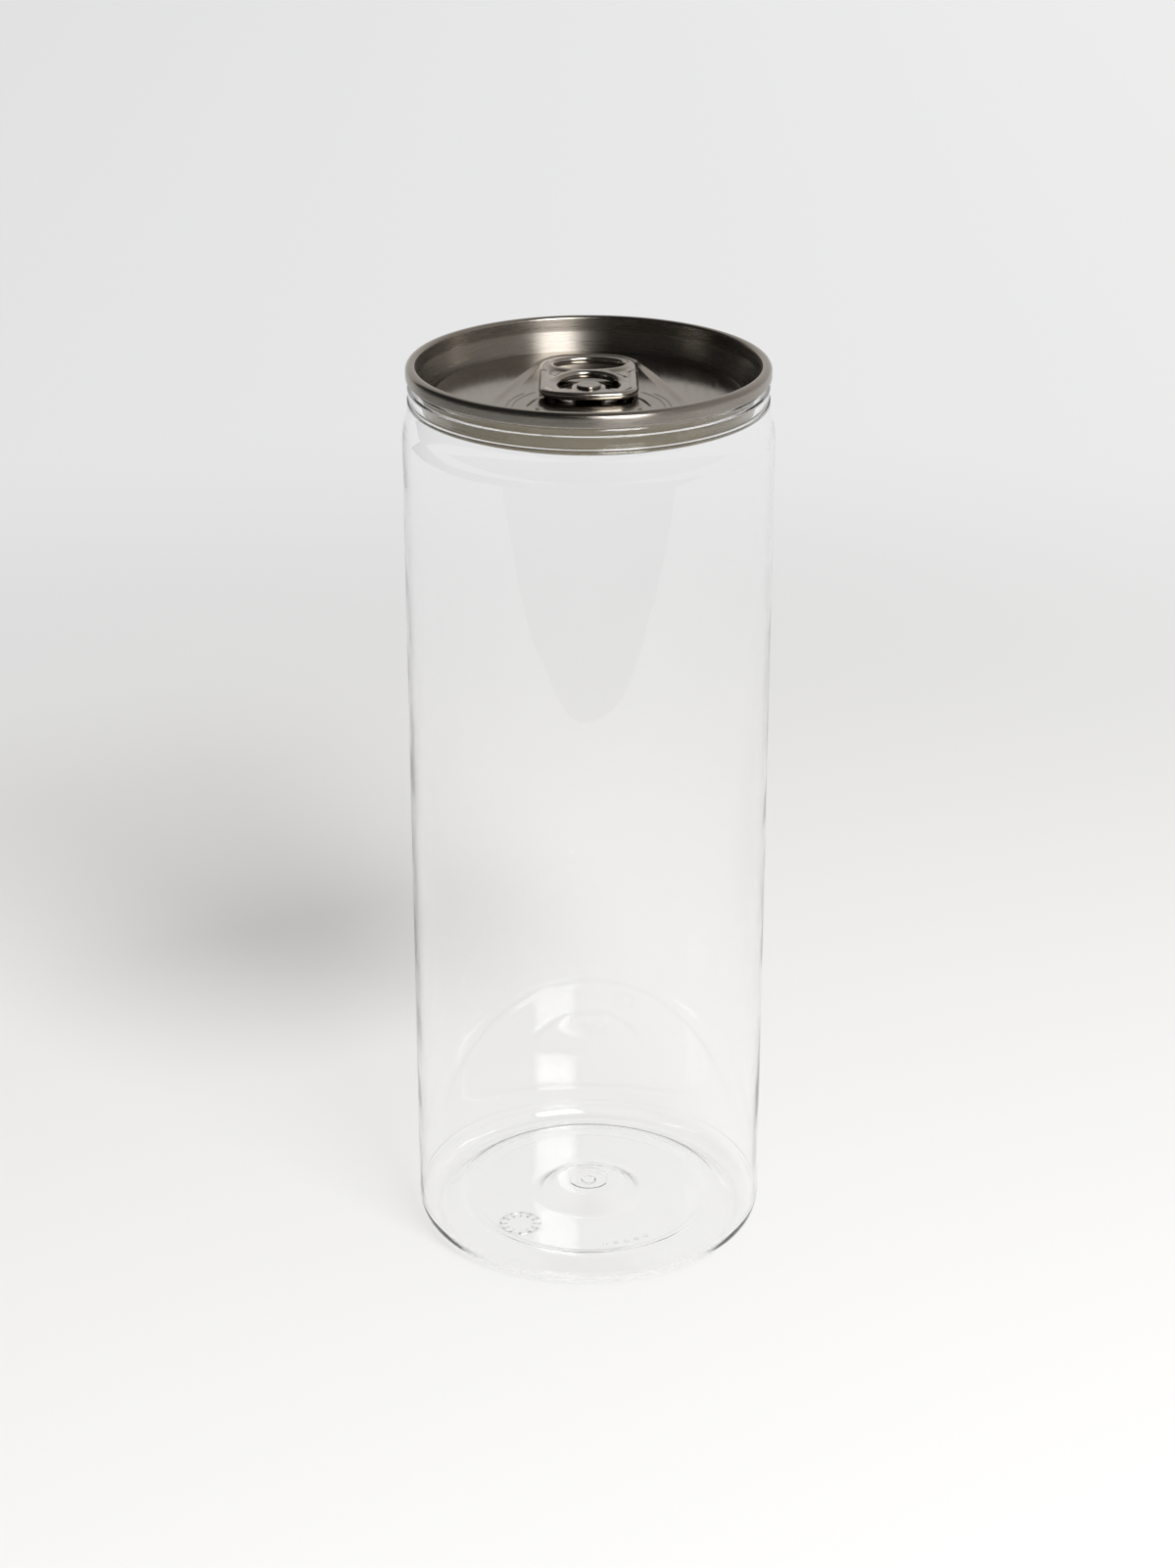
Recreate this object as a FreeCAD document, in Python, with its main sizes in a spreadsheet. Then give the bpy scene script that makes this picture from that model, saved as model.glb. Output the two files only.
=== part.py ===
import FreeCAD, Part
import math
import os

import Sketcher

# Clear drinks can: a blow-moulded PET body closed by a double-seamed easy-open
# end, whose pull tab is held by a rivet drawn from the end itself. Millimetres,
# +Z up, origin in the middle of the standing ring. The tab's finger end points
# to +Y, its nose and the tear panel to -Y. Depths are measured down from the rim.

os.makedirs("parts", exist_ok=True)
doc = FreeCAD.newDocument("clear_can")

SIZES = (
    # whole can
    ("can_height", 158.0, "rim of the seam above the table"),
    ("seam_radius", 30.0, "outside of the double seam"),
    ("body_swell", 0.73, "how far the straight wall stands out past the seam"),
    ("body_wall", 0.5, "thickness of the moulded wall and base"),
    # double seam
    ("seam_height", 2.5, "rim to the lowest point of the seam"),
    ("seam_corner", 0.6, "rounding of the rim's two shoulders"),
    ("sheet_wall", 0.25, "thickness of the end's sheet"),
    ("flange_wall", 0.42, "thickness of the body's flange inside the seam"),
    ("seam_gap", 0.03, "play between two layers of the seam"),
    ("hook_play", 0.18, "play between a hook's edge and the fold it points into"),
    # neck of the body, from the seam down
    ("neck_wall", 0.6, "thickness of the neck"),
    ("neck_inset", 0.7, "neck inside the seam's outside"),
    ("neck_slope", 0.45, "height over which the neck widens under the seam"),
    ("neck_height", 0.75, "neck above the bead"),
    ("bead_inset", 0.28, "bead inside the seam's outside"),
    ("bead_height", 0.45, "height of the bead"),
    ("land_inset", 0.4, "land under the bead, inside the seam's outside"),
    ("land_height", 1.25, "height of the land"),
    ("groove_inset", 0.58, "bottom of the groove inside the seam's outside"),
    ("groove_height", 0.55, "height of the groove"),
    ("edge_slope", 0.15, "height of each sloping side of groove and bead"),
    ("shoulder_inset", 0.18, "shoulder's upper end inside the seam's outside"),
    ("lip_height", 0.45, "upright lip between groove and shoulder"),
    ("shoulder_height", 6.1, "height of the shoulder"),
    # base of the body
    ("heel_radius", 3.2, "rounding between wall and standing ring"),
    ("heel_inside", 3.0, "rounding inside the heel, where the wall is thicker"),
    ("parting_level", 4.0, "height of the parting line above the table"),
    ("parting_ridge", 0.06, "how far the parting line stands out"),
    ("parting_half", 0.25, "half the parting line's height"),
    ("foot_width", 0.8, "width of the flat standing ring"),
    ("foot_radius", 1.6, "rounding inside the standing ring"),
    ("foot_slope", 33.0, "slope between that rounding and the ledge, degrees"),
    ("ledge_level", 1.9, "height of the ledge inside the standing ring"),
    ("ledge_reach", 5.2, "standing ring to the inner edge of the ledge"),
    ("panel_level", 1.5, "height of the base panel"),
    ("panel_step", 0.5, "width of the step from ledge to panel"),
    ("cone_radius", 9.2, "foot of the push-up cone"),
    ("crown_radius", 5.8, "edge of the push-up's top"),
    ("crown_level", 4.05, "height of the push-up's top"),
    ("dish_radius", 3.7, "edge of the dish in the push-up"),
    ("dish_depth", 0.25, "depth of that dish"),
    ("dish_slope", 0.35, "width of the dish's sloping edge"),
    ("gate_radius", 1.3, "radius of the gate mark"),
    ("gate_height", 0.45, "how far the gate mark stands out below"),
    # moulded date wheel and cavity dots under the base
    ("relief_height", 0.16, "how far the moulded marks stand out"),
    ("relief_root", 0.05, "how far they run into the panel"),
    ("wheel_radius", 3.8, "outside of the date wheel's ring"),
    ("wheel_line", 0.4, "width of its ring and ticks"),
    ("wheel_tick", 1.1, "length of one tick"),
    ("wheel_ticks", 12, "ticks round the wheel"),
    ("wheel_margin", 0.5, "wheel to the step at the panel's edge"),
    ("wheel_angle", 47.0, "wheel's place, left of the front, degrees"),
    ("dot_radius", 0.4, "radius of a cavity dot"),
    ("dot_margin", 2.4, "dots to the step at the panel's edge"),
    ("dot_first", 9.0, "first dot's place, right of the front, degrees"),
    ("dot_pitch", 6.0, "angle between two dots, degrees"),
    ("dot_count", 5, "cavity dots"),
    # end: chuck wall, countersink and panel
    ("chuck_lean", 1.4, "how far the chuck wall leans in on its way down"),
    ("sink_half", 0.7, "half the countersink's width"),
    ("sink_drop", 2.2, "panel to the countersink's floor"),
    ("end_panel", 5.2, "depth of the panel"),
    ("panel_corner", 0.5, "rounding of the panel's edge"),
    # debossed field of the panel
    ("field_margin", 1.63, "field to the rounding of the panel's edge"),
    ("field_depth", 0.4, "depth of the debossed field"),
    ("field_slope", 1.2, "width of the field's sloping edge"),
    ("field_taper", 16.8, "angle of each straight edge to the middle line, degrees"),
    ("field_corner", 3.4, "rounding between straight edge and far edge"),
    # tear panel
    ("score_radius", 12.5, "radius of the main score"),
    ("guard_margin", 1.15, "outer score to the edge of the field's floor"),
    ("score_pitch", 1.0, "outer score to main score"),
    ("score_width", 0.22, "width of a score"),
    ("score_depth", 0.1, "depth of a score"),
    ("score_top", 1.4, "how far behind the rivet the main score ends"),
    ("guard_top", 0.6, "how far behind the rivet the outer score ends"),
    ("ring_inset", 3.3, "main score to the middle of the stiffening bead"),
    ("ring_ahead", 1.0, "bead's centre in front of the tear panel's"),
    ("ring_half", 0.95, "half the bead's width"),
    ("ring_height", 0.35, "height of the bead"),
    ("ring_lap", 0.02, "how far the bead runs into the sheet"),
    ("ring_sweep", 286.0, "how far the bead runs round, degrees"),
    # rivet
    ("head_radius", 2.0, "rivet head"),
    ("head_height", 0.42, "head above the tongue"),
    ("head_edge", 0.2, "rounding of the head's rim"),
    ("head_wall", 0.56, "head's top to the roof of the hollow"),
    ("shank_radius", 1.6, "rivet between head and base"),
    ("boss_radius", 2.5, "base that the tab sits on"),
    ("boss_foot", 3.1, "foot of that base"),
    ("bore_radius", 1.15, "hollow of the rivet from below"),
    # pull tab
    ("tab_lift", 0.4, "tab above the field's floor"),
    ("hem_height", 1.4, "height of the curled hem"),
    ("hem_round", 0.6, "rounding of the hem's outside"),
    ("rim_round", 0.55, "rounding of the hem round the two holes"),
    ("tab_half", 8.2, "half the tab's width"),
    ("nose_reach", 5.5, "nose in front of the rivet"),
    ("nose_bow", 22.0, "radius of the nose's edge"),
    ("nose_corner", 4.0, "rounding of the nose's corners"),
    ("grip_reach", 17.5, "finger end behind the rivet"),
    ("grip_bow", 24.0, "radius of the finger end's edge"),
    ("grip_corner", 5.4, "rounding of the finger end's corners"),
    ("window_side", 3.15, "hem on each side of the rivet window"),
    ("window_nose", 2.1, "hem between nose and window"),
    ("window_flat", 0.45, "how much tighter than a circle the window's ends are"),
    ("bar_start", 7.7, "crossbar behind the rivet"),
    ("bar_width", 1.6, "width of the crossbar"),
    ("finger_side", 2.4, "hem on each side of the finger hole"),
    ("finger_grip", 1.2, "hem between finger hole and finger end"),
    ("finger_flat", 0.85, "how much tighter than a circle the hole's ends are"),
    ("tongue_lift", 0.7, "tongue above the tab's underside"),
    ("tongue_wall", 0.3, "thickness of the riveted tongue"),
    ("tongue_half", 2.75, "half the tongue's width"),
    ("tongue_back", 2.7, "tongue's free end behind the rivet"),
    ("tongue_root", 0.9, "how far the tongue's plate runs into the hem round it"),
    ("apron_back", 1.25, "apron's back edge in front of the rivet"),
    ("notch_radius", 0.35, "rounding of the notch between apron and tongue"),
    ("rivet_play", 0.04, "play between shank and tongue"),
)


class Measure:
    """A number worked out from the sheet, kept with the expression that says how."""

    def __init__(self, number, text):
        self.number = number
        self.text = text

    def __add__(self, other):
        other = measure(other)
        return Measure(self.number + other.number, f"({self.text} + {other.text})")

    def __sub__(self, other):
        other = measure(other)
        return Measure(self.number - other.number, f"({self.text} - {other.text})")

    def __mul__(self, other):
        other = measure(other)
        return Measure(self.number * other.number, f"({self.text} * {other.text})")

    def __truediv__(self, other):
        other = measure(other)
        return Measure(self.number / other.number, f"({self.text} / {other.text})")

    def __rmul__(self, other):
        return measure(other) * self

    def root(self):
        return Measure(math.sqrt(self.number), f"sqrt({self.text})")

    def sine(self):
        """Sine of a measure in degrees."""
        return Measure(math.sin(math.radians(self.number)), f"sin({self.text} * 1 deg)")

    def cosine(self):
        """Cosine of a measure in degrees."""
        return Measure(math.cos(math.radians(self.number)), f"cos({self.text} * 1 deg)")


def measure(value):
    """A plain number as a measure; a measure as it is."""
    if isinstance(value, Measure):
        return value
    return Measure(float(value), repr(float(value)))


def side(hypotenuse, other_side):
    """Third side of a right-angled triangle."""
    return (hypotenuse * hypotenuse - other_side * other_side).root()


sheet = doc.addObject("Spreadsheet::Sheet", "Sizes")
for row, (alias, number, note) in enumerate(SIZES, start=1):
    sheet.set(f"A{row}", alias)
    sheet.set(f"B{row}", str(number))
    sheet.set(f"C{row}", note)
    sheet.setAlias(f"B{row}", alias)
doc.recompute()

size = {alias: Measure(float(sheet.get(alias)), f"Sizes.{alias}") for alias, _, _ in SIZES}
ZERO = measure(0)
MARGIN = 0.01


def depth(value):
    """Height above the table of a point that lies value below the rim."""
    return size["can_height"] - value


def origin_plane(body, role):
    return next(item for item in body.Origin.OriginFeatures if item.Role == role)


class Outline:
    """A sketch of closed loops of lines and arcs, every corner tied to the sheet."""

    def __init__(self, body, name, role, lift=None, shift=None):
        self.sketch = body.newObject("Sketcher::SketchObject", name)
        self.sketch.AttachmentSupport = [(origin_plane(body, role), "")]
        self.sketch.MapMode = "FlatFace"
        if lift is not None:
            self.sketch.setExpression("AttachmentOffset.Base.z", lift.text)
        if shift is not None:
            self.sketch.setExpression("AttachmentOffset.Base.x", shift.text)

    def loop(self, start, *steps):
        """Add a loop. A step is (x, y) for a line, or (x, y, radius, turn) for an
        arc under half a circle: turn is 1 to the left, -1 to the right."""
        corners = [start] + [step[:2] for step in steps]
        edges = []
        for (x0, y0), (x1, y1), step in zip(corners, corners[1:], steps):
            tail = FreeCAD.Vector(x0.number, y0.number, 0)
            head = FreeCAD.Vector(x1.number, y1.number, 0)
            if len(step) == 2:
                index = self.sketch.addGeometry(Part.LineSegment(tail, head), False)
                edges.append((index, 1, 2))
                continue
            radius, turn = step[2], step[3]
            arc = self.arc(tail, head, radius.number, turn)
            index = self.sketch.addGeometry(arc, False)
            edges.append((index, 1, 2) if turn > 0 else (index, 2, 1))
            self.bind("Radius", [index], radius)
        for place, (index, tail_end, _) in enumerate(edges):
            before, _, before_end = edges[place - 1]
            self.sketch.addConstraint(
                Sketcher.Constraint("Coincident", before, before_end, index, tail_end))
            x, y = corners[place]
            self.pin("DistanceX", -2, index, tail_end, x)
            self.pin("DistanceY", -1, index, tail_end, y)
        return self

    def disc(self, x, y, radius):
        """Add a full circle."""
        circle = Part.Circle(
            FreeCAD.Vector(x.number, y.number, 0), FreeCAD.Vector(0, 0, 1), radius.number)
        index = self.sketch.addGeometry(circle, False)
        self.bind("Radius", [index], radius)
        self.pin("DistanceX", -2, index, 3, x)
        self.pin("DistanceY", -1, index, 3, y)
        return self

    @staticmethod
    def arc(tail, head, radius, turn):
        chord = head - tail
        left = FreeCAD.Vector(-chord.y, chord.x, 0).normalize()
        rise = math.sqrt(max(radius * radius - chord.Length * chord.Length / 4, 0))
        centre = (tail + head) / 2 + left * (turn * rise)
        first, last = (tail, head) if turn > 0 else (head, tail)
        circle = Part.Circle(centre, FreeCAD.Vector(0, 0, 1), radius)
        start_angle = math.atan2(first.y - centre.y, first.x - centre.x)
        end_angle = math.atan2(last.y - centre.y, last.x - centre.x)
        return Part.ArcOfCircle(circle, start_angle, end_angle)

    def pin(self, kind, axis, index, end, value):
        """Tie one coordinate of a point, on the axis itself where it is nought."""
        if value.text == ZERO.text:
            self.sketch.addConstraint(Sketcher.Constraint("PointOnObject", index, end, axis))
        else:
            self.bind(kind, [-1, 1, index, end], value)

    def bind(self, kind, place, value):
        number = self.sketch.addConstraint(Sketcher.Constraint(kind, *place, value.number))
        self.sketch.setExpression(f"Constraints[{number}]", value.text)


def new_body(label):
    body = doc.addObject("PartDesign::Body", label)
    body.Label = label
    return body


def turned(body, kind, name, outline, degrees=None):
    """Revolution or Groove of an outline about its sketch's upright axis."""
    feature = body.newObject(f"PartDesign::{kind}", name)
    feature.Profile = outline.sketch
    feature.ReferenceAxis = (outline.sketch, ["V_Axis"])
    feature.Angle = 360.0
    if degrees is not None:
        feature.Midplane = True
        feature.setExpression("Angle", degrees.text)
    doc.recompute()
    return feature


def raised(body, kind, name, outline, length, downwards=False):
    """Pad or Pocket of an outline that lies level."""
    feature = body.newObject(f"PartDesign::{kind}", name)
    feature.Profile = outline.sketch
    feature.setExpression("Length", length.text)
    feature.Reversed = downwards
    doc.recompute()
    return feature


def lofted(body, kind, name, wide, narrow):
    """Straight-sided loft from a wide outline to a narrow one."""
    feature = body.newObject(f"PartDesign::{kind}", name)
    feature.Profile = wide.sketch
    feature.Sections = [narrow.sketch]
    feature.Ruled = True
    doc.recompute()
    return feature


def oval(outline, half, front, back, flat):
    """Add an oval of four arcs, half wide each way, from y = front to y = back. The
    two arcs at its long axis have a radius smaller by flat than the short half."""
    middle = (front + back) / 2
    reach = (back - front) / 2
    upright = reach.number > half.number
    longer, shorter = (reach, half) if upright else (half, reach)
    end = shorter - flat
    waist = longer - end
    bow = (waist * waist + shorter * shorter - end * end) / (2 * flat)
    share = end / (bow - end)
    far = waist + waist * share
    near = (bow - shorter) * share
    x, y = (near, far) if upright else (far, near)
    side_arc, end_arc = (bow, end) if upright else (end, bow)
    outline.loop(
        (x, middle - y),
        (x, middle + y, side_arc, 1),
        (ZERO - x, middle + y, end_arc, 1),
        (ZERO - x, middle - y, side_arc, 1),
        (x, middle - y, end_arc, 1))
    return outline


# --------------------------------------------------------------------------- seam
# Radii of the seam's five layers, from the outside in: end, body, end, body, end.
shell_out = size["seam_radius"]
shell_in = shell_out - size["sheet_wall"]
flange_out = shell_in - size["seam_gap"]
flange_in = flange_out - size["flange_wall"]
hook_out = flange_in - size["seam_gap"]
hook_in = hook_out - size["sheet_wall"]
neck_out = hook_in - size["seam_gap"]
neck_in = neck_out - size["flange_wall"]
chuck_out = neck_in - size["seam_gap"]
chuck_in = chuck_out - size["sheet_wall"]

# The seam's foot is a half ring; its centre lies midway between shell and hook.
turn_radius = (shell_out - hook_in) / 2
turn_middle = (shell_out + hook_in) / 2
turn_inside = turn_radius - size["sheet_wall"]
turn_depth = size["seam_height"] - turn_radius

# Depths of the body's flange and of the two hooks' edges.
flange_top = size["sheet_wall"] + size["seam_gap"]
flange_under = flange_top + size["flange_wall"]
hook_edge = flange_under + size["hook_play"]
flange_edge = turn_depth - size["hook_play"]

# Radii of the end's countersink and panel, and depths of what the tab sits on.
sink_middle = chuck_in - size["chuck_lean"] - size["sink_half"]
panel_wall = sink_middle - size["sink_half"]
panel_flat = panel_wall - size["panel_corner"]
guard_radius = size["score_radius"] + size["score_pitch"]
# The tear panel lies as near the panel's edge as the field round it allows.
pour_ahead = (panel_flat - size["field_margin"] - size["field_slope"]
              - size["guard_margin"] - guard_radius)
field_floor = size["end_panel"] + size["field_depth"]
tab_under = field_floor - size["tab_lift"]
tab_top = tab_under - size["hem_height"]
tongue_under = tab_under - size["tongue_lift"]
tongue_top = tongue_under - size["tongue_wall"]
head_top = tongue_top - size["head_height"]


# --------------------------------------------------------------------------- body
def foot_side(radius, level):
    """End of the rounding inside the standing ring, and where the slope above it
    meets the ledge, for a face of the given radius and ledge height."""
    slope = size["foot_slope"]
    end_x = foot_inner() - radius * slope.sine()
    end_y = size["foot_radius"] - radius * slope.cosine()
    return (end_x, end_y), (end_x - (level - end_y) * slope.cosine() / slope.sine(), level)


def base_side(rise, centre):
    """Corners of one face of the base, from its middle out to the ledge."""
    edge = panel_edge()
    crown = size["crown_level"] + rise
    dish = crown - size["dish_depth"]
    return centre + [
        (size["dish_radius"] - size["dish_slope"], dish),
        (size["dish_radius"], crown),
        (size["crown_radius"], crown),
        (size["cone_radius"], size["panel_level"] + rise),
        (edge - size["panel_step"], size["panel_level"] + rise),
        (edge, size["ledge_level"] + rise)]


def foot_inner():
    """Inner radius of the flat standing ring."""
    return body_radius() - size["heel_radius"] - size["foot_width"]


def panel_edge():
    """Inner radius of the ledge round the base panel."""
    return foot_inner() - size["ledge_reach"]


def body_radius():
    return size["seam_radius"] + size["body_swell"]


def neck_steps():
    """Outside of the neck from the shoulder up to the seam."""
    seam = size["seam_radius"]
    slope = size["edge_slope"]
    neck = seam - size["neck_inset"]
    bead = seam - size["bead_inset"]
    land = seam - size["land_inset"]
    groove = seam - size["groove_inset"]
    neck_full = size["seam_height"] + size["neck_slope"]
    bead_top = neck_full + size["neck_height"]
    bead_bottom = bead_top + size["bead_height"]
    groove_top = bead_bottom + size["land_height"]
    groove_bottom = groove_top + size["groove_height"]
    steps = [
        (seam - size["shoulder_inset"], groove_bottom),
        (groove, groove_bottom - slope),
        (groove, groove_top + slope),
        (land, groove_top),
        (land, bead_bottom),
        (bead, bead_bottom - slope),
        (bead, bead_top + slope),
        (neck, bead_top),
        (neck, neck_full)]
    return [(x, depth(down)) for x, down in steps], neck_full, groove_bottom


def make_body():
    body = new_body("can_body")
    wall = size["body_wall"]
    outside = body_radius()
    inside = outside - wall
    heel_x = outside - size["heel_radius"]
    foot_in = foot_inner()
    heel_inside = size["heel_inside"]
    foot_inside = size["foot_radius"] - wall
    neck, neck_full, groove_bottom = neck_steps()

    # The shoulder is an ogee of two equal arcs on either face.
    shoulder = size["seam_radius"] - size["shoulder_inset"]
    shoulder_top = groove_bottom + size["lip_height"]
    shoulder_bottom = shoulder_top + size["shoulder_height"]
    inset = outside - shoulder
    drop = size["shoulder_height"]
    ogee = (inset * inset + drop * drop) / (4 * inset)
    middle_x = outside - inset / 2
    middle_z = depth(shoulder_top + drop / 2)
    ridge = size["parting_level"]
    ridge_half = size["parting_half"]

    dish = size["crown_level"] - size["dish_depth"]
    gate = dish - size["gate_height"]
    gate_corners = [(ZERO, gate), (size["gate_radius"], gate), (size["gate_radius"], dish)]
    under = base_side(ZERO, gate_corners)
    over = base_side(wall, [(ZERO, dish + wall)])
    under_end, under_ledge = foot_side(size["foot_radius"], size["ledge_level"])
    over_end, over_ledge = foot_side(foot_inside, size["ledge_level"] + wall)

    neck_inside = size["seam_radius"] - size["neck_inset"] - size["neck_wall"]
    flange_turn = size["seam_corner"] - flange_top
    turn_z = depth(size["seam_corner"])

    profile = Outline(body, "body_profile", "XZ_Plane")
    profile.loop(
        *under, under_ledge, under_end,
        (foot_in, ZERO, size["foot_radius"], 1),
        (heel_x, ZERO),
        (outside, size["heel_radius"], size["heel_radius"], 1),
        (outside, ridge - ridge_half),
        (outside + size["parting_ridge"], ridge),
        (outside, ridge + ridge_half),
        (outside, depth(shoulder_bottom)),
        (middle_x, middle_z, ogee, 1),
        (shoulder, depth(shoulder_top), ogee, -1),
        *neck,
        (neck_out, depth(size["seam_height"])),
        (neck_out, depth(flange_under)),
        (flange_in, depth(flange_under)),
        (flange_in, depth(flange_edge)),
        (flange_out, depth(flange_edge)),
        (flange_out, turn_z),
        (flange_out - flange_turn, depth(flange_top), flange_turn, 1),
        (neck_in + flange_turn, depth(flange_top)),
        (neck_in, turn_z, flange_turn, 1),
        (neck_in, depth(size["seam_height"])),
        (neck_inside, depth(neck_full)),
        (neck_inside, depth(groove_bottom)),
        (shoulder - wall, depth(shoulder_top)),
        (middle_x - wall, middle_z, ogee, 1),
        (inside, depth(shoulder_bottom), ogee, -1),
        (inside, wall + heel_inside),
        (inside - heel_inside, wall, heel_inside, -1),
        (foot_in, wall),
        (*over_end, foot_inside, -1),
        over_ledge,
        *reversed(over),
        under[0])
    turned(body, "Revolution", "body_wall_and_base", profile)
    mark_base(body)
    return body


def mark_base(body):
    """Date wheel and cavity dots, raised from the underside of the base panel."""
    flat_edge = panel_edge() - size["panel_step"]
    root_z = size["panel_level"] + size["relief_root"]
    thick = size["relief_height"] + size["relief_root"]
    reach = flat_edge - size["wheel_radius"] - size["wheel_margin"]
    wheel_x = ZERO - reach * size["wheel_angle"].sine()
    wheel_y = ZERO - reach * size["wheel_angle"].cosine()
    ring_inside = size["wheel_radius"] - size["wheel_line"]
    wheel = Outline(body, "wheel_outline", "XY_Plane", lift=root_z)
    wheel.disc(wheel_x, wheel_y, size["wheel_radius"])
    wheel.disc(wheel_x, wheel_y, ring_inside)
    raised(body, "Pad", "date_wheel_ring", wheel, thick, downwards=True)

    ticks = Outline(body, "tick_outlines", "XY_Plane", lift=root_z)
    ticks_count = int(size["wheel_ticks"].number)
    for number in range(ticks_count):
        angle = measure(number) * 360 / size["wheel_ticks"]
        start = ring_inside - size["wheel_tick"]
        add_tick(ticks, wheel_x, wheel_y, angle, start, ring_inside + size["wheel_line"] / 2)
    raised(body, "Pad", "date_wheel_ticks", ticks, thick, downwards=True)

    dots = Outline(body, "dot_outlines", "XY_Plane", lift=root_z)
    dot_ring = flat_edge - size["dot_margin"]
    for number in range(int(size["dot_count"].number)):
        angle = size["dot_first"] + size["dot_pitch"] * number
        dots.disc(dot_ring * angle.sine(), ZERO - dot_ring * angle.cosine(), size["dot_radius"])
    raised(body, "Pad", "cavity_dots", dots, thick, downwards=True)


def add_tick(outline, x, y, angle, start, end):
    """One radial bar of the date wheel."""
    half = size["wheel_line"] / 2
    along_x, along_y = angle.cosine(), angle.sine()

    def place(reach, aside):
        return (x + reach * along_x - aside * along_y, y + reach * along_y + aside * along_x)

    outline.loop(
        place(start, ZERO - half), place(end, ZERO - half),
        place(end, half), place(start, half), place(start, ZERO - half))


# --------------------------------------------------------------------------- end
def make_end():
    body = new_body("can_end")
    sheet_wall = size["sheet_wall"]
    corner = size["seam_corner"]
    inner_corner = corner - sheet_wall
    rim = size["can_height"]
    corner_z = depth(corner)
    turn_z = depth(turn_depth)
    sink_half = size["sink_half"]
    sink_outer = sink_half + sheet_wall
    sink_floor = depth(size["end_panel"] + size["sink_drop"])
    sink_z = sink_floor + sink_half
    panel_z = depth(size["end_panel"])
    panel_under = panel_z - sheet_wall
    edge = size["panel_corner"]

    profile = Outline(body, "end_profile", "XZ_Plane")
    profile.loop(
        (ZERO, panel_under),
        (panel_flat, panel_under),
        (panel_wall - sheet_wall, panel_z - edge, edge - sheet_wall, -1),
        (panel_wall - sheet_wall, sink_z),
        (sink_middle, sink_floor - sheet_wall, sink_outer, 1),
        (sink_middle + sink_outer, sink_z, sink_outer, 1),
        (chuck_out, depth(size["seam_height"])),
        (chuck_out, corner_z),
        (chuck_in + corner, rim - sheet_wall, inner_corner, -1),
        (shell_out - corner, rim - sheet_wall),
        (shell_in, corner_z, inner_corner, -1),
        (shell_in, turn_z),
        (turn_middle, turn_z - turn_inside, turn_inside, -1),
        (hook_out, turn_z, turn_inside, -1),
        (hook_out, depth(hook_edge)),
        (hook_in, depth(hook_edge)),
        (hook_in, turn_z),
        (turn_middle, turn_z - turn_radius, turn_radius, 1),
        (shell_out, turn_z, turn_radius, 1),
        (shell_out, corner_z),
        (shell_out - corner, rim, corner, 1),
        (chuck_in + corner, rim),
        (chuck_in, corner_z, corner, 1),
        (chuck_in, depth(size["seam_height"])),
        (sink_middle + sink_half, sink_z),
        (sink_middle, sink_floor, sink_half, -1),
        (panel_wall, sink_z, sink_half, -1),
        (panel_wall, panel_z - edge),
        (panel_flat, panel_z, edge, 1),
        (ZERO, panel_z),
        (ZERO, panel_under))
    turned(body, "Revolution", "seam_chuck_and_panel", profile)

    fall = size["field_depth"]
    under_wide = field(body, "field_under_edge", panel_under, ZERO)
    under_narrow = field(body, "field_under_floor", panel_under - fall, size["field_slope"])
    lofted(body, "AdditiveLoft", "field_under", under_wide, under_narrow)
    over_wide = field(body, "field_edge", panel_z, ZERO)
    over_narrow = field(body, "field_floor", panel_z - fall, size["field_slope"])
    lofted(body, "SubtractiveLoft", "field_over", over_wide, over_narrow)

    floor_z = depth(field_floor)
    make_ring(body, floor_z, size["score_radius"] - size["ring_inset"])
    score(body, "main_score", floor_z, size["score_radius"], size["score_top"])
    score(body, "guard_score", floor_z, guard_radius, size["guard_top"])
    make_rivet(body, floor_z)
    return body


def field_radius():
    """Rounding of the debossed field's pouring end."""
    return guard_radius + size["guard_margin"] + size["field_slope"]


def field(body, name, level, inset):
    """Outline of the debossed field, drawn in by inset: a round pouring end, two
    straight edges that close in behind it, and a far edge that follows the panel."""
    taper = size["field_taper"]
    across, along = taper.cosine(), taper.sine()
    centre_y = ZERO - pour_ahead
    near = field_radius() - inset
    reach = panel_flat - size["field_margin"] - inset
    corner = size["field_corner"] - inset
    # The corner's centre lies on the straight edge drawn in by the corner's own
    # radius, at the distance reach - corner from the axis.
    offset = near - corner + centre_y * along
    ring = reach - corner
    run = side(ring, offset)
    corner_x = offset * across - run * along
    corner_y = offset * along + run * across
    outline = Outline(body, name, "XY_Plane", lift=level)
    near_x = near * across
    near_y = centre_y + near * along
    edge_x = corner_x + corner * across
    edge_y = corner_y + corner * along
    far_x = corner_x * reach / ring
    far_y = corner_y * reach / ring
    outline.loop(
        (ZERO, centre_y - near),
        (near_x, near_y, near, 1),
        (edge_x, edge_y),
        (far_x, far_y, corner, 1),
        (ZERO - far_x, far_y, reach, 1),
        (ZERO - edge_x, edge_y, corner, 1),
        (ZERO - near_x, near_y),
        (ZERO, centre_y - near, near, 1))
    return outline


def make_ring(body, floor_z, radius):
    """Half-round stiffening bead of the tear panel, hollow underneath."""
    half = size["ring_half"]
    height = size["ring_height"]
    bow = (half * half + height * height) / (2 * height)
    near = radius - half
    far = radius + half

    def crown(name, level):
        root = level - size["ring_lap"]
        outline = Outline(body, name, "YZ_Plane", shift=ZERO - pour_ahead - size["ring_ahead"])
        outline.loop(
            (ZERO - far, root), (ZERO - near, root), (ZERO - near, level),
            (ZERO - far, level, bow, 1), (ZERO - far, root))
        return outline

    turned(body, "Revolution", "ring_bead", crown("ring_profile", floor_z), size["ring_sweep"])
    hollow = crown("ring_hollow_profile", floor_z - size["sheet_wall"])
    turned(body, "Groove", "ring_hollow", hollow, size["ring_sweep"])


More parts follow.
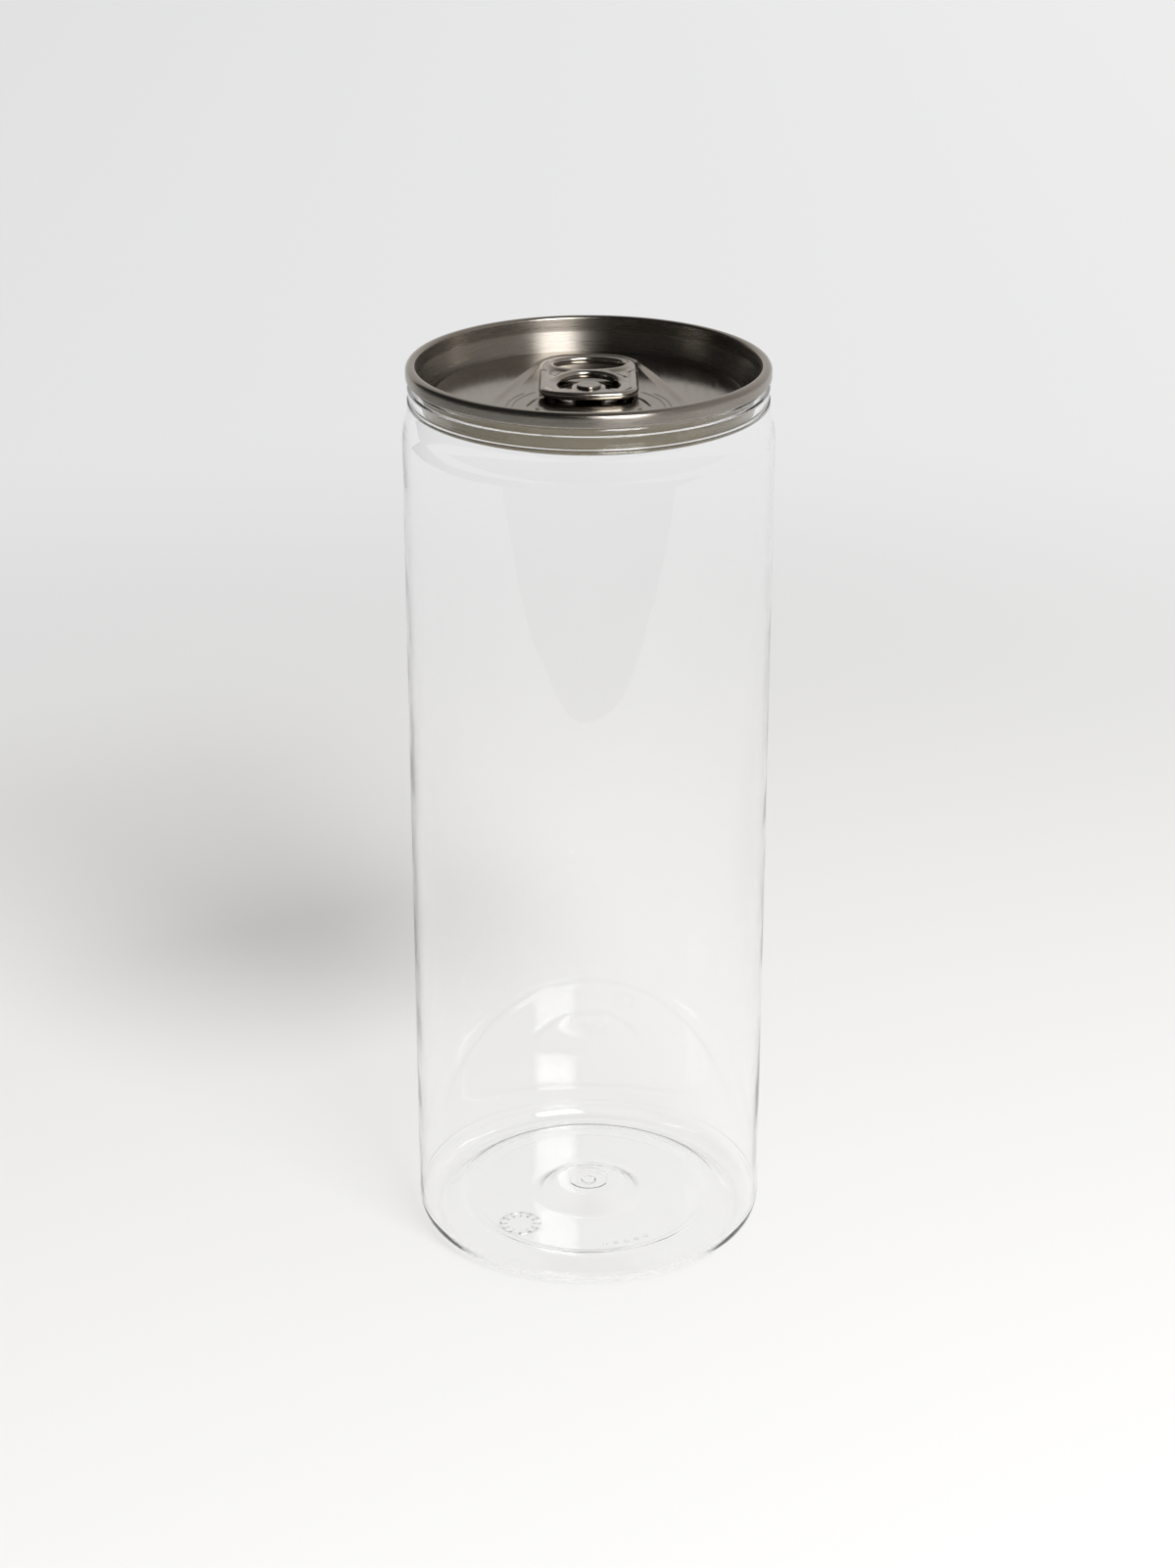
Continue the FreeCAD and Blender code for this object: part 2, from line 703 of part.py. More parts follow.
def score(body, name, floor_z, radius, top):
    """Groove cut round the tear panel, open towards the tab."""
    centre_y = ZERO - pour_ahead
    outer = radius + size["score_width"] / 2
    inner = radius - size["score_width"] / 2
    outer_x = side(outer, top - centre_y)
    inner_x = side(inner, top - centre_y)
    outline = Outline(body, name + "_line", "XY_Plane", lift=floor_z)
    outline.loop(
        (ZERO - outer_x, top),
        (ZERO - outer, centre_y, outer, 1),
        (ZERO, centre_y - outer, outer, 1),
        (outer, centre_y, outer, 1),
        (outer_x, top, outer, 1),
        (inner_x, top),
        (inner, centre_y, inner, -1),
        (ZERO, centre_y - inner, inner, -1),
        (ZERO - inner, centre_y, inner, -1),
        (ZERO - inner_x, top, inner, -1),
        (ZERO - outer_x, top))
    raised(body, "Pocket", name, outline, size["score_depth"])


def make_rivet(body, floor_z):
    """Rivet drawn from the panel: base, shank and head, hollow from below."""
    seat_z = depth(tongue_under)
    head_under = depth(tongue_top)
    top = depth(head_top)
    edge = size["head_edge"]
    under_z = floor_z - size["sheet_wall"]
    outline = Outline(body, "rivet_profile", "XZ_Plane")
    outline.loop(
        (ZERO, under_z),
        (size["boss_foot"], under_z),
        (size["boss_foot"], floor_z),
        (size["boss_radius"], seat_z),
        (size["shank_radius"], seat_z),
        (size["shank_radius"], head_under),
        (size["head_radius"], head_under),
        (size["head_radius"], top - edge),
        (size["head_radius"] - edge, top, edge, 1),
        (ZERO, top),
        (ZERO, under_z))
    turned(body, "Revolution", "rivet", outline)
    roof = top - size["head_wall"]
    hollow = Outline(body, "rivet_hollow_profile", "XZ_Plane")
    hollow.loop(
        (ZERO, under_z), (size["bore_radius"], under_z), (size["bore_radius"], roof),
        (ZERO, roof), (ZERO, under_z))
    turned(body, "Groove", "rivet_hollow", hollow)


# --------------------------------------------------------------------------- tab
def tab_corner(reach, bow, corner):
    """Centre of a corner rounding that joins the tab's side to a bowed edge, and
    the point where the two arcs meet, for an edge that bows towards +Y."""
    across = size["tab_half"] - corner
    bow_y = reach - bow
    up = side(bow - corner, across)
    centre_y = bow_y + up
    share = bow / (bow - corner)
    return centre_y, (across * share, bow_y + up * share)


def make_tab():
    body = new_body("pull_tab")
    half = size["tab_half"]
    under_z = depth(tab_under)
    top_z = depth(tab_top)
    far_y, (far_x, far_meet) = tab_corner(
        size["grip_reach"], size["grip_bow"], size["grip_corner"])
    near_up, (near_x, near_meet) = tab_corner(
        size["nose_reach"], size["nose_bow"], size["nose_corner"])
    near_y = ZERO - near_up
    nose_y = ZERO - near_meet
    outline = Outline(body, "tab_outline", "XY_Plane", lift=under_z)
    outline.loop(
        (ZERO - near_x, nose_y),
        (near_x, nose_y, size["nose_bow"], 1),
        (half, near_y, size["nose_corner"], 1),
        (half, far_y),
        (far_x, far_meet, size["grip_corner"], 1),
        (ZERO - far_x, far_meet, size["grip_bow"], 1),
        (ZERO - half, far_y, size["grip_corner"], 1),
        (ZERO - half, near_y),
        (ZERO - near_x, nose_y, size["nose_corner"], 1))
    raised(body, "Pad", "tab_hem", outline, size["hem_height"])
    hem_edges = level_edges(body.Tip.Shape)
    round_edges(body, "hem_rounding", hem_edges, size["hem_round"])

    window_front = size["window_nose"] - size["nose_reach"]
    window = oval(
        Outline(body, "window_outline", "XY_Plane", lift=top_z), half - size["window_side"],
        window_front, size["bar_start"], size["window_flat"])
    before = body.Tip.Shape
    raised(body, "Pocket", "rivet_window", window, size["hem_height"])
    finger = oval(
        Outline(body, "finger_outline", "XY_Plane", lift=top_z), half - size["finger_side"],
        size["bar_start"] + size["bar_width"], size["grip_reach"] - size["finger_grip"],
        size["finger_flat"])
    raised(body, "Pocket", "finger_hole", finger, size["hem_height"])
    rim_edges = [
        name for name in level_edges(body.Tip.Shape)
        if not on_shape(before, body.Tip.Shape.getElement(name))]
    round_edges(body, "rim_rounding", rim_edges, size["rim_round"])

    # The plate's apron fills the front of the window; the tongue goes on from it
    # between two round notches and ends in a half circle round the rivet.
    tongue_half = size["tongue_half"]
    notch = size["notch_radius"]
    apron = half - size["window_side"] + size["tongue_root"]
    root = window_front - size["tongue_root"]
    step = ZERO - size["apron_back"]
    back = size["tongue_back"]
    tip = back - tongue_half
    tongue = Outline(body, "tongue_outline", "XY_Plane", lift=depth(tongue_under))
    tongue.loop(
        (ZERO - apron, root),
        (apron, root),
        (apron, step),
        (tongue_half + 2 * notch, step),
        (tongue_half + notch, step - notch, notch, -1),
        (tongue_half, step, notch, -1),
        (tongue_half, tip),
        (ZERO, back, tongue_half, 1),
        (ZERO - tongue_half, tip, tongue_half, 1),
        (ZERO - tongue_half, step),
        (ZERO - tongue_half - notch, step - notch, notch, -1),
        (ZERO - tongue_half - 2 * notch, step, notch, -1),
        (ZERO - apron, step),
        (ZERO - apron, root))
    tongue.disc(ZERO, ZERO, size["shank_radius"] + size["rivet_play"])
    raised(body, "Pad", "riveted_tongue", tongue, size["tongue_wall"])
    return body


def level_edges(shape):
    """Names of the edges that lie level in the tab's upper or lower face."""
    names = []
    for number, edge in enumerate(shape.Edges, start=1):
        box = edge.BoundBox
        faces = (depth(tab_top).number, depth(tab_under).number)
        at_face = min(abs(box.ZMin - level) for level in faces) < MARGIN
        if box.ZLength < MARGIN and at_face:
            names.append(f"Edge{number}")
    return names


def on_shape(shape, edge):
    """Whether an edge's middle already lay on an edge of the shape before."""
    middle = Part.Vertex(edge.valueAt((edge.FirstParameter + edge.LastParameter) / 2))
    return min(old.distToShape(middle)[0] for old in shape.Edges) < MARGIN


def round_edges(body, name, edges, radius):
    """Fillet the named edges of the body's last feature."""
    base = body.Tip
    fillet = body.newObject("PartDesign::Fillet", name)
    fillet.Base = (base, edges)
    fillet.setExpression("Radius", radius.text)
    doc.recompute()


# --------------------------------------------------------------------------- files
bodies = [make_body(), make_end(), make_tab()]
doc.recompute()
for item in doc.Objects:
    if "Invalid" in item.State or "Error" in item.State:
        raise RuntimeError(f"{item.Name} failed: {item.State}")
for body in bodies:
    shape = body.Shape
    if shape.isNull() or not shape.isValid() or len(shape.Solids) != 1:
        raise RuntimeError(f"{body.Label} is not one valid solid")
    shape.exportStep(f"parts/{body.Label}.step")
    print(f"{body.Label}: volume {shape.Volume:.1f} mm3, box {shape.BoundBox}")
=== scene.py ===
import logging
import math
from dataclasses import dataclass
from enum import Enum
from typing import Iterable, NamedTuple

import bmesh
import bpy
from mathutils import Euler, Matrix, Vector


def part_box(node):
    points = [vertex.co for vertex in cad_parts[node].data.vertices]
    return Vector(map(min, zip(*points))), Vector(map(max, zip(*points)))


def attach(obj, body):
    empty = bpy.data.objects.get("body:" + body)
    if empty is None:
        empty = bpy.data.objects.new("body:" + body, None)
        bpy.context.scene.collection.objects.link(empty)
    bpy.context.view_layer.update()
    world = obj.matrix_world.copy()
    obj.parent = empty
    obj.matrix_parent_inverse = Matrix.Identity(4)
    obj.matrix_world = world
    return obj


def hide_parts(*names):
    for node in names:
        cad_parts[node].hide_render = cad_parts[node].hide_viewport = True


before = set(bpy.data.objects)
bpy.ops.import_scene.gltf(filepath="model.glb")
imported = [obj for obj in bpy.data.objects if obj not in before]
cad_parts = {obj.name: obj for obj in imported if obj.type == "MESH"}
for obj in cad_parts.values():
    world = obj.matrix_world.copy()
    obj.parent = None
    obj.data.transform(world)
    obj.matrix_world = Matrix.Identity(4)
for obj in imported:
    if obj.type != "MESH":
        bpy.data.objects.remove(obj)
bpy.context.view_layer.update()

log = logging.getLogger("clear_can")

MM = 0.001
FULL_TURN = 2 * math.pi
# Steps of a full turn: the clear heel needs more, because it magnifies each facet.
SPIN_STEPS = 256
BODY_STEPS = 380
SHARP_ANGLE = math.radians(38)
# Doubles nearer than this, in millimetres, are one point.
DOUBLE = 0.002

Point = tuple[float, float]
Place = tuple[float, float, float]
Polygon = list[Point]


# ---------------------------------------------------------------- mesh helpers
class Corner(NamedTuple):
    """Corner of a turned outline: radius, height and rounding in millimetres."""

    radius: float
    height: float
    rounding: float = 0.0


def turned_outline(corners: list[Corner], closed: bool, arc_step: float = 14.0) -> bmesh.types.BMesh:
    """Draw an outline in the XZ plane and round its corners.

    Args:
        corners: Corners in order.
        closed: Whether the last corner joins the first.
        arc_step: Largest turn of one segment of a rounding, in degrees.

    Returns:
        A bmesh of vertices and edges alone.
    """
    mesh = bmesh.new()
    points = [mesh.verts.new((c.radius * MM, 0.0, c.height * MM)) for c in corners]
    pairs = list(zip(points, points[1:]))
    if closed:
        pairs.append((points[-1], points[0]))
    for start, end in pairs:
        mesh.edges.new((start, end))
    count = len(corners)
    for place, (point, corner) in enumerate(zip(points, corners)):
        at_end = not closed and place in (0, count - 1)
        if corner.rounding <= 0 or at_end:
            continue
        before = Vector(corners[place - 1][:2]) - Vector(corner[:2])
        after = Vector(corners[(place + 1) % count][:2]) - Vector(corner[:2])
        turn = math.pi - before.angle(after)
        bmesh.ops.bevel(
            mesh, geom=[point], offset=corner.rounding * math.tan(turn / 2) * MM,
            offset_type="OFFSET", affect="VERTICES", profile=0.5, material=-1,
            segments=max(2, math.ceil(math.degrees(turn) / arc_step)), clamp_overlap=False)
    bmesh.ops.remove_doubles(mesh, verts=mesh.verts[:], dist=DOUBLE * MM)
    return mesh


def spun(mesh: bmesh.types.BMesh, centre: Point = (0.0, 0.0), steps: int = SPIN_STEPS) -> bmesh.types.BMesh:
    """Turn an outline once round an upright axis and close its seam and poles.

    Args:
        mesh: Outline to turn.
        centre: Where the axis stands, in millimetres.
        steps: Steps of the turn.

    Returns:
        The same bmesh, with faces that point outwards.
    """
    bmesh.ops.spin(
        mesh, geom=mesh.verts[:] + mesh.edges[:], cent=(centre[0] * MM, centre[1] * MM, 0.0),
        axis=(0.0, 0.0, 1.0), angle=FULL_TURN, steps=steps, use_merge=True)
    bmesh.ops.remove_doubles(mesh, verts=mesh.verts[:], dist=DOUBLE / 2 * MM)
    bmesh.ops.recalc_face_normals(mesh, faces=mesh.faces[:])
    return mesh


def turn_up(mesh: bmesh.types.BMesh) -> None:
    """Point an open sheet's faces outwards, judged by its highest level face.

    Args:
        mesh: The sheet.
    """
    top = max(mesh.faces, key=lambda face: (abs(face.normal.z) > 0.9, face.calc_center_median().z))
    if top.normal.z < 0:
        bmesh.ops.reverse_faces(mesh, faces=mesh.faces[:])


def wire_loop(mesh: bmesh.types.BMesh, points: Iterable[Point], height: float) -> list[bmesh.types.BMVert]:
    """Add a closed loop of edges at one height.

    Args:
        mesh: Mesh that takes the loop.
        points: Places in millimetres.
        height: Height in millimetres.

    Returns:
        The loop's vertices in order.
    """
    loop = [mesh.verts.new((x * MM, y * MM, height * MM)) for x, y in points]
    for start, end in zip(loop, loop[1:] + loop[:1]):
        mesh.edges.new((start, end))
    return loop


def join(target: bmesh.types.BMesh, part: bmesh.types.BMesh) -> None:
    """Copy a part's mesh into the target and free the part.

    Args:
        target: Mesh that takes it.
        part: Mesh that is copied and freed.
    """
    carrier = bpy.data.meshes.new("carrier")
    part.to_mesh(carrier)
    part.free()
    target.from_mesh(carrier)
    bpy.data.meshes.remove(carrier)


def arc_points(centre: Point, radius: float, start: float, end: float, count: int) -> list[Point]:
    """Points along an arc.

    Args:
        centre: Centre in millimetres.
        radius: Radius in millimetres.
        start: First angle in radians.
        end: Last angle in radians.
        count: How many points, both ends among them.

    Returns:
        The points in order.
    """
    turn = (end - start) / (count - 1)
    return [
        (centre[0] + radius * math.cos(start + turn * i), centre[1] + radius * math.sin(start + turn * i))
        for i in range(count)]


def smoothstep(value: float) -> float:
    """Ease from 0 to 1 as value goes from 0 to 1."""
    share = min(max(value, 0.0), 1.0)
    return share * share * (3 - 2 * share)


def finish_piece(
        name: str, mesh: bmesh.types.BMesh, material: bpy.types.Material,
        nodes: tuple[str, ...] = (), wall: float = 0.0,
        inside: bpy.types.Material | None = None) -> bpy.types.Object:
    """Make an object of a mesh, dress it and tie it to the frame.

    Args:
        name: Name of the piece.
        mesh: Its mesh, which is freed.
        material: Its finish.
        nodes: CAD nodes that it stands for.
        wall: Sheet thickness in millimetres, laid inside the faces; 0 for none.
        inside: Finish of the sheet's inner side, where it differs.

    Returns:
        The new object.
    """
    for face in mesh.faces:
        face.smooth = True
    for edge in mesh.edges:
        if len(edge.link_faces) == 2 and edge.calc_face_angle(0.0) > SHARP_ANGLE:
            edge.smooth = False
    data = bpy.data.meshes.new(name)
    mesh.to_mesh(data)
    mesh.free()
    data.materials.append(material)
    piece = bpy.data.objects.new(name, data)
    bpy.context.scene.collection.objects.link(piece)
    if wall > 0:
        sheet = piece.modifiers.new("sheet_wall", "SOLIDIFY")
        sheet.thickness = wall * MM
        sheet.offset = -1.0
        sheet.use_even_offset = True
        if inside is not None:
            data.materials.append(inside)
            sheet.material_offset = 1
    evened = piece.modifiers.new("evened_normals", "WEIGHTED_NORMAL")
    evened.keep_sharp = True
    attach(piece, "root")
    if nodes:
        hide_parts(*nodes)
    log.info("%s: %d faces", name, len(data.polygons))
    return piece


# ---------------------------------------------------------------- sizes shared by body and end
@dataclass(frozen=True)
class Seam:
    """Double seam that holds end and body together; millimetres, depths below the rim."""

    rim: float
    outside: float
    sheet: float = 0.25
    flange: float = 0.42
    gap: float = 0.03
    height: float = 2.5
    corner: float = 0.6
    hook_play: float = 0.18

    @property
    def hook_in(self) -> float:
        """Inner radius of the end's hook."""
        return self.outside - 2 * self.sheet - self.flange - 2 * self.gap

    @property
    def neck_out(self) -> float:
        """Outer radius of the body's neck inside the seam."""
        return self.hook_in - self.gap

    @property
    def chuck_in(self) -> float:
        """Inner radius of the chuck wall at the rim."""
        return self.neck_out - self.flange - self.gap - self.sheet

    @property
    def turn_radius(self) -> float:
        """Outer radius of the half ring at the seam's foot."""
        return (self.outside - self.hook_in) / 2

    def at(self, depth: float) -> float:
        """Height of a point that lies depth below the rim."""
        return self.rim - depth


# ---------------------------------------------------------------- body
@dataclass
class ClearBody:
    """Blow-moulded PET body from its pushed-up base to the flange inside the seam."""

    seam: Seam
    radius: float
    wall: float = 0.5
    neck_wall: float = 0.6
    neck_inset: float = 0.7
    bead_inset: float = 0.28
    land_inset: float = 0.4
    groove_inset: float = 0.58
    edge_slope: float = 0.15
    edge_round: float = 0.12
    shoulder_inset: float = 0.18
    neck_full: float = 2.95
    bead_top: float = 3.7
    bead_bottom: float = 4.15
    groove_top: float = 5.4
    groove_bottom: float = 5.95
    shoulder_top: float = 6.4
    shoulder_height: float = 6.1
    heel_radius: float = 3.2
    heel_inside: float = 3.0
    ridge_level: float = 4.0
    ridge_out: float = 0.06
    ridge_half: float = 0.25
    ridge_round: float = 0.05
    foot_width: float = 0.8
    foot_radius: float = 1.6
    foot_slope: float = 33.0
    ledge_level: float = 1.9
    ledge_reach: float = 5.2
    ledge_round: float = 1.8
    panel_level: float = 1.5
    panel_step: float = 0.5
    panel_blend: float = 0.6
    step_round: float = 1.3
    cone_radius: float = 9.2
    cone_round: float = 3.5
    crown_radius: float = 5.8
    crown_round: float = 2.2
    crown_level: float = 4.05
    dish_radius: float = 3.7
    dish_depth: float = 0.25
    dish_slope: float = 0.35
    dish_round: float = 0.55
    gate_radius: float = 1.3
    gate_height: float = 0.45
    gate_round: float = 0.3
    relief_height: float = 0.11
    relief_root: float = 0.05
    relief_round: float = 0.08
    wheel_radius: float = 3.8
    wheel_line: float = 0.4
    wheel_tick: float = 1.1
    wheel_ticks: int = 12
    tick_bevel: float = 0.07
    wheel_margin: float = 0.5
    wheel_angle: float = 47.0
    dot_radius: float = 0.4
    dot_round: float = 0.12
    dot_margin: float = 2.4
    dot_first: float = 9.0
    dot_pitch: float = 6.0
    dot_count: int = 5

    @property
    def foot_inner(self) -> float:
        """Inner radius of the flat standing ring."""
        return self.radius - self.heel_radius - self.foot_width

    @property
    def panel_edge(self) -> float:
        """Inner radius of the ledge round the base panel."""
        return self.foot_inner - self.ledge_reach

    def base_side(self, rise: float, foot_round: float) -> list[Corner]:
        """Corners of one face of the base, from its middle to the standing ring.

        Args:
            rise: Height of the face above the underside, in millimetres.
            foot_round: Rounding at the standing ring, in millimetres.

        Returns:
            The corners from the push-up's dish outwards.
        """
        crown = self.crown_level + rise
        dish = crown - self.dish_depth
        ledge = self.ledge_level + rise
        slope = math.radians(self.foot_slope)
        toe = self.foot_inner - foot_round * math.tan(slope / 2)
        toe_z = self.foot_radius - foot_round
        slope_x = toe - (ledge - toe_z) / math.tan(slope)
        return [
            Corner(self.dish_radius - self.dish_slope, dish, self.dish_round),
            Corner(self.dish_radius, crown, self.dish_round),
            Corner(self.crown_radius, crown, self.crown_round),
            Corner(self.cone_radius, self.panel_level + rise, self.cone_round),
            Corner(self.panel_edge - self.panel_step - self.panel_blend, self.panel_level + rise,
                   self.step_round),
            Corner(self.panel_edge + self.panel_blend, ledge, self.step_round),
            Corner(slope_x, ledge, self.ledge_round),
            Corner(toe, toe_z, foot_round)]

    def shoulder(self, inset: float) -> list[Corner]:
        """The shoulder's ogee on one face, from the wall up.

        Args:
            inset: How far the face lies inside the outer one, in millimetres.

        Returns:
            Two corners whose roundings meet halfway.
        """
        top = self.seam.outside - self.shoulder_inset
        step = self.radius - top
        ogee = (step * step + self.shoulder_height ** 2) / (4 * step)
        reach = ogee * math.tan(math.asin(self.shoulder_height / 2 / ogee) / 2)
        low = self.seam.at(self.shoulder_top + self.shoulder_height) + reach
        high = self.seam.at(self.shoulder_top) - reach
        # A hair less than full, so that the two roundings don't run into each other.
        rounding = ogee * 0.998
        return [Corner(self.radius - inset, low, rounding), Corner(top - inset, high, rounding)]

    def neck(self) -> list[Corner]:
        """Outside of the neck.

        Returns:
            Corners of its groove, land and bead, from the shoulder up to the seam.
        """
        seam = self.seam
        groove = seam.outside - self.groove_inset
        land = seam.outside - self.land_inset
        bead = seam.outside - self.bead_inset
        neck = seam.outside - self.neck_inset
        slope, soft = self.edge_slope, self.edge_round
        return [
            Corner(seam.outside - self.shoulder_inset, seam.at(self.groove_bottom), soft),
            Corner(groove, seam.at(self.groove_bottom - slope), soft),
            Corner(groove, seam.at(self.groove_top + slope), soft),
            Corner(land, seam.at(self.groove_top), soft),
            Corner(land, seam.at(self.bead_bottom), soft),
            Corner(bead, seam.at(self.bead_bottom - slope), soft),
            Corner(bead, seam.at(self.bead_top + slope), soft),
            Corner(neck, seam.at(self.bead_top), soft),
            Corner(neck, seam.at(self.neck_full), soft)]

    def flange(self) -> list[Corner]:
        """The neck's end inside the seam.

        Returns:
            Corners up the outside, over the hook and down inside.
        """
        seam = self.seam
        top = seam.sheet + seam.gap
        under = top + seam.flange
        edge = seam.height - seam.turn_radius - seam.hook_play
        outer = seam.outside - seam.sheet - seam.gap
        inner = seam.neck_out - seam.flange
        turn = seam.corner - top
        return [
            Corner(seam.neck_out, seam.at(seam.height)),
            Corner(seam.neck_out, seam.at(under)),
            Corner(outer - seam.flange, seam.at(under)),
            Corner(outer - seam.flange, seam.at(edge)),
            Corner(outer, seam.at(edge)),
            Corner(outer, seam.at(top), turn),
            Corner(inner, seam.at(top), turn),
            Corner(inner, seam.at(seam.height))]

    def outline(self) -> list[Corner]:
        """The whole section of the wall.

        Returns:
            Corners from the middle of the underside round to the middle inside.
        """
        dish = self.crown_level - self.dish_depth
        gate = dish - self.gate_height
        inside = self.radius - self.wall
        neck_inside = self.seam.outside - self.neck_inset - self.neck_wall
        shoulder_inside = self.seam.outside - self.shoulder_inset - self.wall
        under = self.base_side(0.0, self.foot_radius)
        over = self.base_side(self.wall, self.foot_radius - self.wall)
        return [
            Corner(0.0, gate), Corner(self.gate_radius, gate, self.gate_round),
            Corner(self.gate_radius, dish, self.edge_round), *under,
            Corner(self.radius, 0.0, self.heel_radius),
            Corner(self.radius, self.ridge_level - self.ridge_half),
            Corner(self.radius + self.ridge_out, self.ridge_level, self.ridge_round),
            Corner(self.radius, self.ridge_level + self.ridge_half),
            *self.shoulder(0.0), *self.neck(), *self.flange(),
            Corner(neck_inside, self.seam.at(self.neck_full), self.edge_round),
            Corner(neck_inside, self.seam.at(self.groove_bottom), self.dish_round),
            Corner(shoulder_inside, self.seam.at(self.shoulder_top), self.dish_round),
            *reversed(self.shoulder(self.wall)),
            Corner(inside, self.wall, self.heel_inside),
            *reversed(over), Corner(0.0, dish + self.wall)]

    def relief(self) -> bmesh.types.BMesh:
        """Date wheel and cavity dots that stand out under the base panel.

        Returns:
            Their mesh.
        """
        mesh = bmesh.new()
        flat_edge = self.panel_edge - self.panel_step
        reach = flat_edge - self.wheel_radius - self.wheel_margin
        angle = math.radians(self.wheel_angle)
        centre = (-reach * math.sin(angle), -reach * math.cos(angle))
        low = self.panel_level - self.relief_height
        high = self.panel_level + self.relief_root
        inner = self.wheel_radius - self.wheel_line
        ring = turned_outline([
            Corner(inner, low, self.relief_round), Corner(self.wheel_radius, low, self.relief_round),
            Corner(self.wheel_radius, high), Corner(inner, high)], closed=True)
        bmesh.ops.translate(ring, verts=ring.verts[:], vec=(centre[0] * MM, centre[1] * MM, 0.0))
        join(mesh, spun(ring, centre, steps=72))
        for number in range(self.wheel_ticks):
            turn = FULL_TURN * number / self.wheel_ticks
            start, end = inner - self.wheel_tick, inner + self.wheel_line / 2
            self.add_bar(mesh, centre, turn, (start, end), (low, high))
        for number in range(self.dot_count):
            turn = math.radians(self.dot_first + self.dot_pitch * number)
            ring_radius = flat_edge - self.dot_margin
            spot = (ring_radius * math.sin(turn), -ring_radius * math.cos(turn))
            dot = turned_outline([
                Corner(0.0, low), Corner(self.dot_radius, low, self.dot_round),
                Corner(self.dot_radius, high), Corner(0.0, high)], closed=False)
            bmesh.ops.translate(dot, verts=dot.verts[:], vec=(spot[0] * MM, spot[1] * MM, 0.0))
            join(mesh, spun(dot, spot, steps=24))
        return mesh

    def add_bar(
            self, mesh: bmesh.types.BMesh, centre: Point, turn: float,
            reach: Point, levels: Point) -> None:
        """Add one radial tick of the date wheel.

        Args:
            mesh: Mesh that takes it.
            centre: Middle of the wheel in millimetres.
            turn: Direction of the tick in radians.
            reach: Its two ends' distances from the middle.
            levels: Its lower and upper heights.
        """
        bar = bmesh.new()
        bmesh.ops.create_cube(bar, size=1.0)
        length, thick = reach[1] - reach[0], levels[1] - levels[0]
        bmesh.ops.scale(bar, verts=bar.verts[:], vec=(length * MM, self.wheel_line * MM, thick * MM))
        bmesh.ops.translate(bar, verts=bar.verts[:], vec=(sum(reach) / 2 * MM, 0.0, sum(levels) / 2 * MM))
        under = [e for e in bar.edges if all(v.co.z < levels[0] * MM + 1e-6 for v in e.verts)]
        bmesh.ops.bevel(
            bar, geom=under, offset=self.tick_bevel * MM, offset_type="OFFSET", segments=2,
            profile=0.5, affect="EDGES", material=-1)
        cos, sin = math.cos(turn), math.sin(turn)
        for vert in bar.verts:
            x, y = vert.co.x, vert.co.y
            vert.co.x = centre[0] * MM + x * cos - y * sin
            vert.co.y = centre[1] * MM + x * sin + y * cos
        join(mesh, bar)

    def build(self, finish: "ClearPet") -> bpy.types.Object:
        """Turn the wall, add the moulded marks and dress them.

        Args:
            finish: The body's finish.

        Returns:
            The body.
        """
        mesh = spun(turned_outline(self.outline(), closed=False, arc_step=12.0), steps=BODY_STEPS)
        join(mesh, self.relief())
        return finish_piece("clear_body", mesh, finish.material(), ("can_body",))


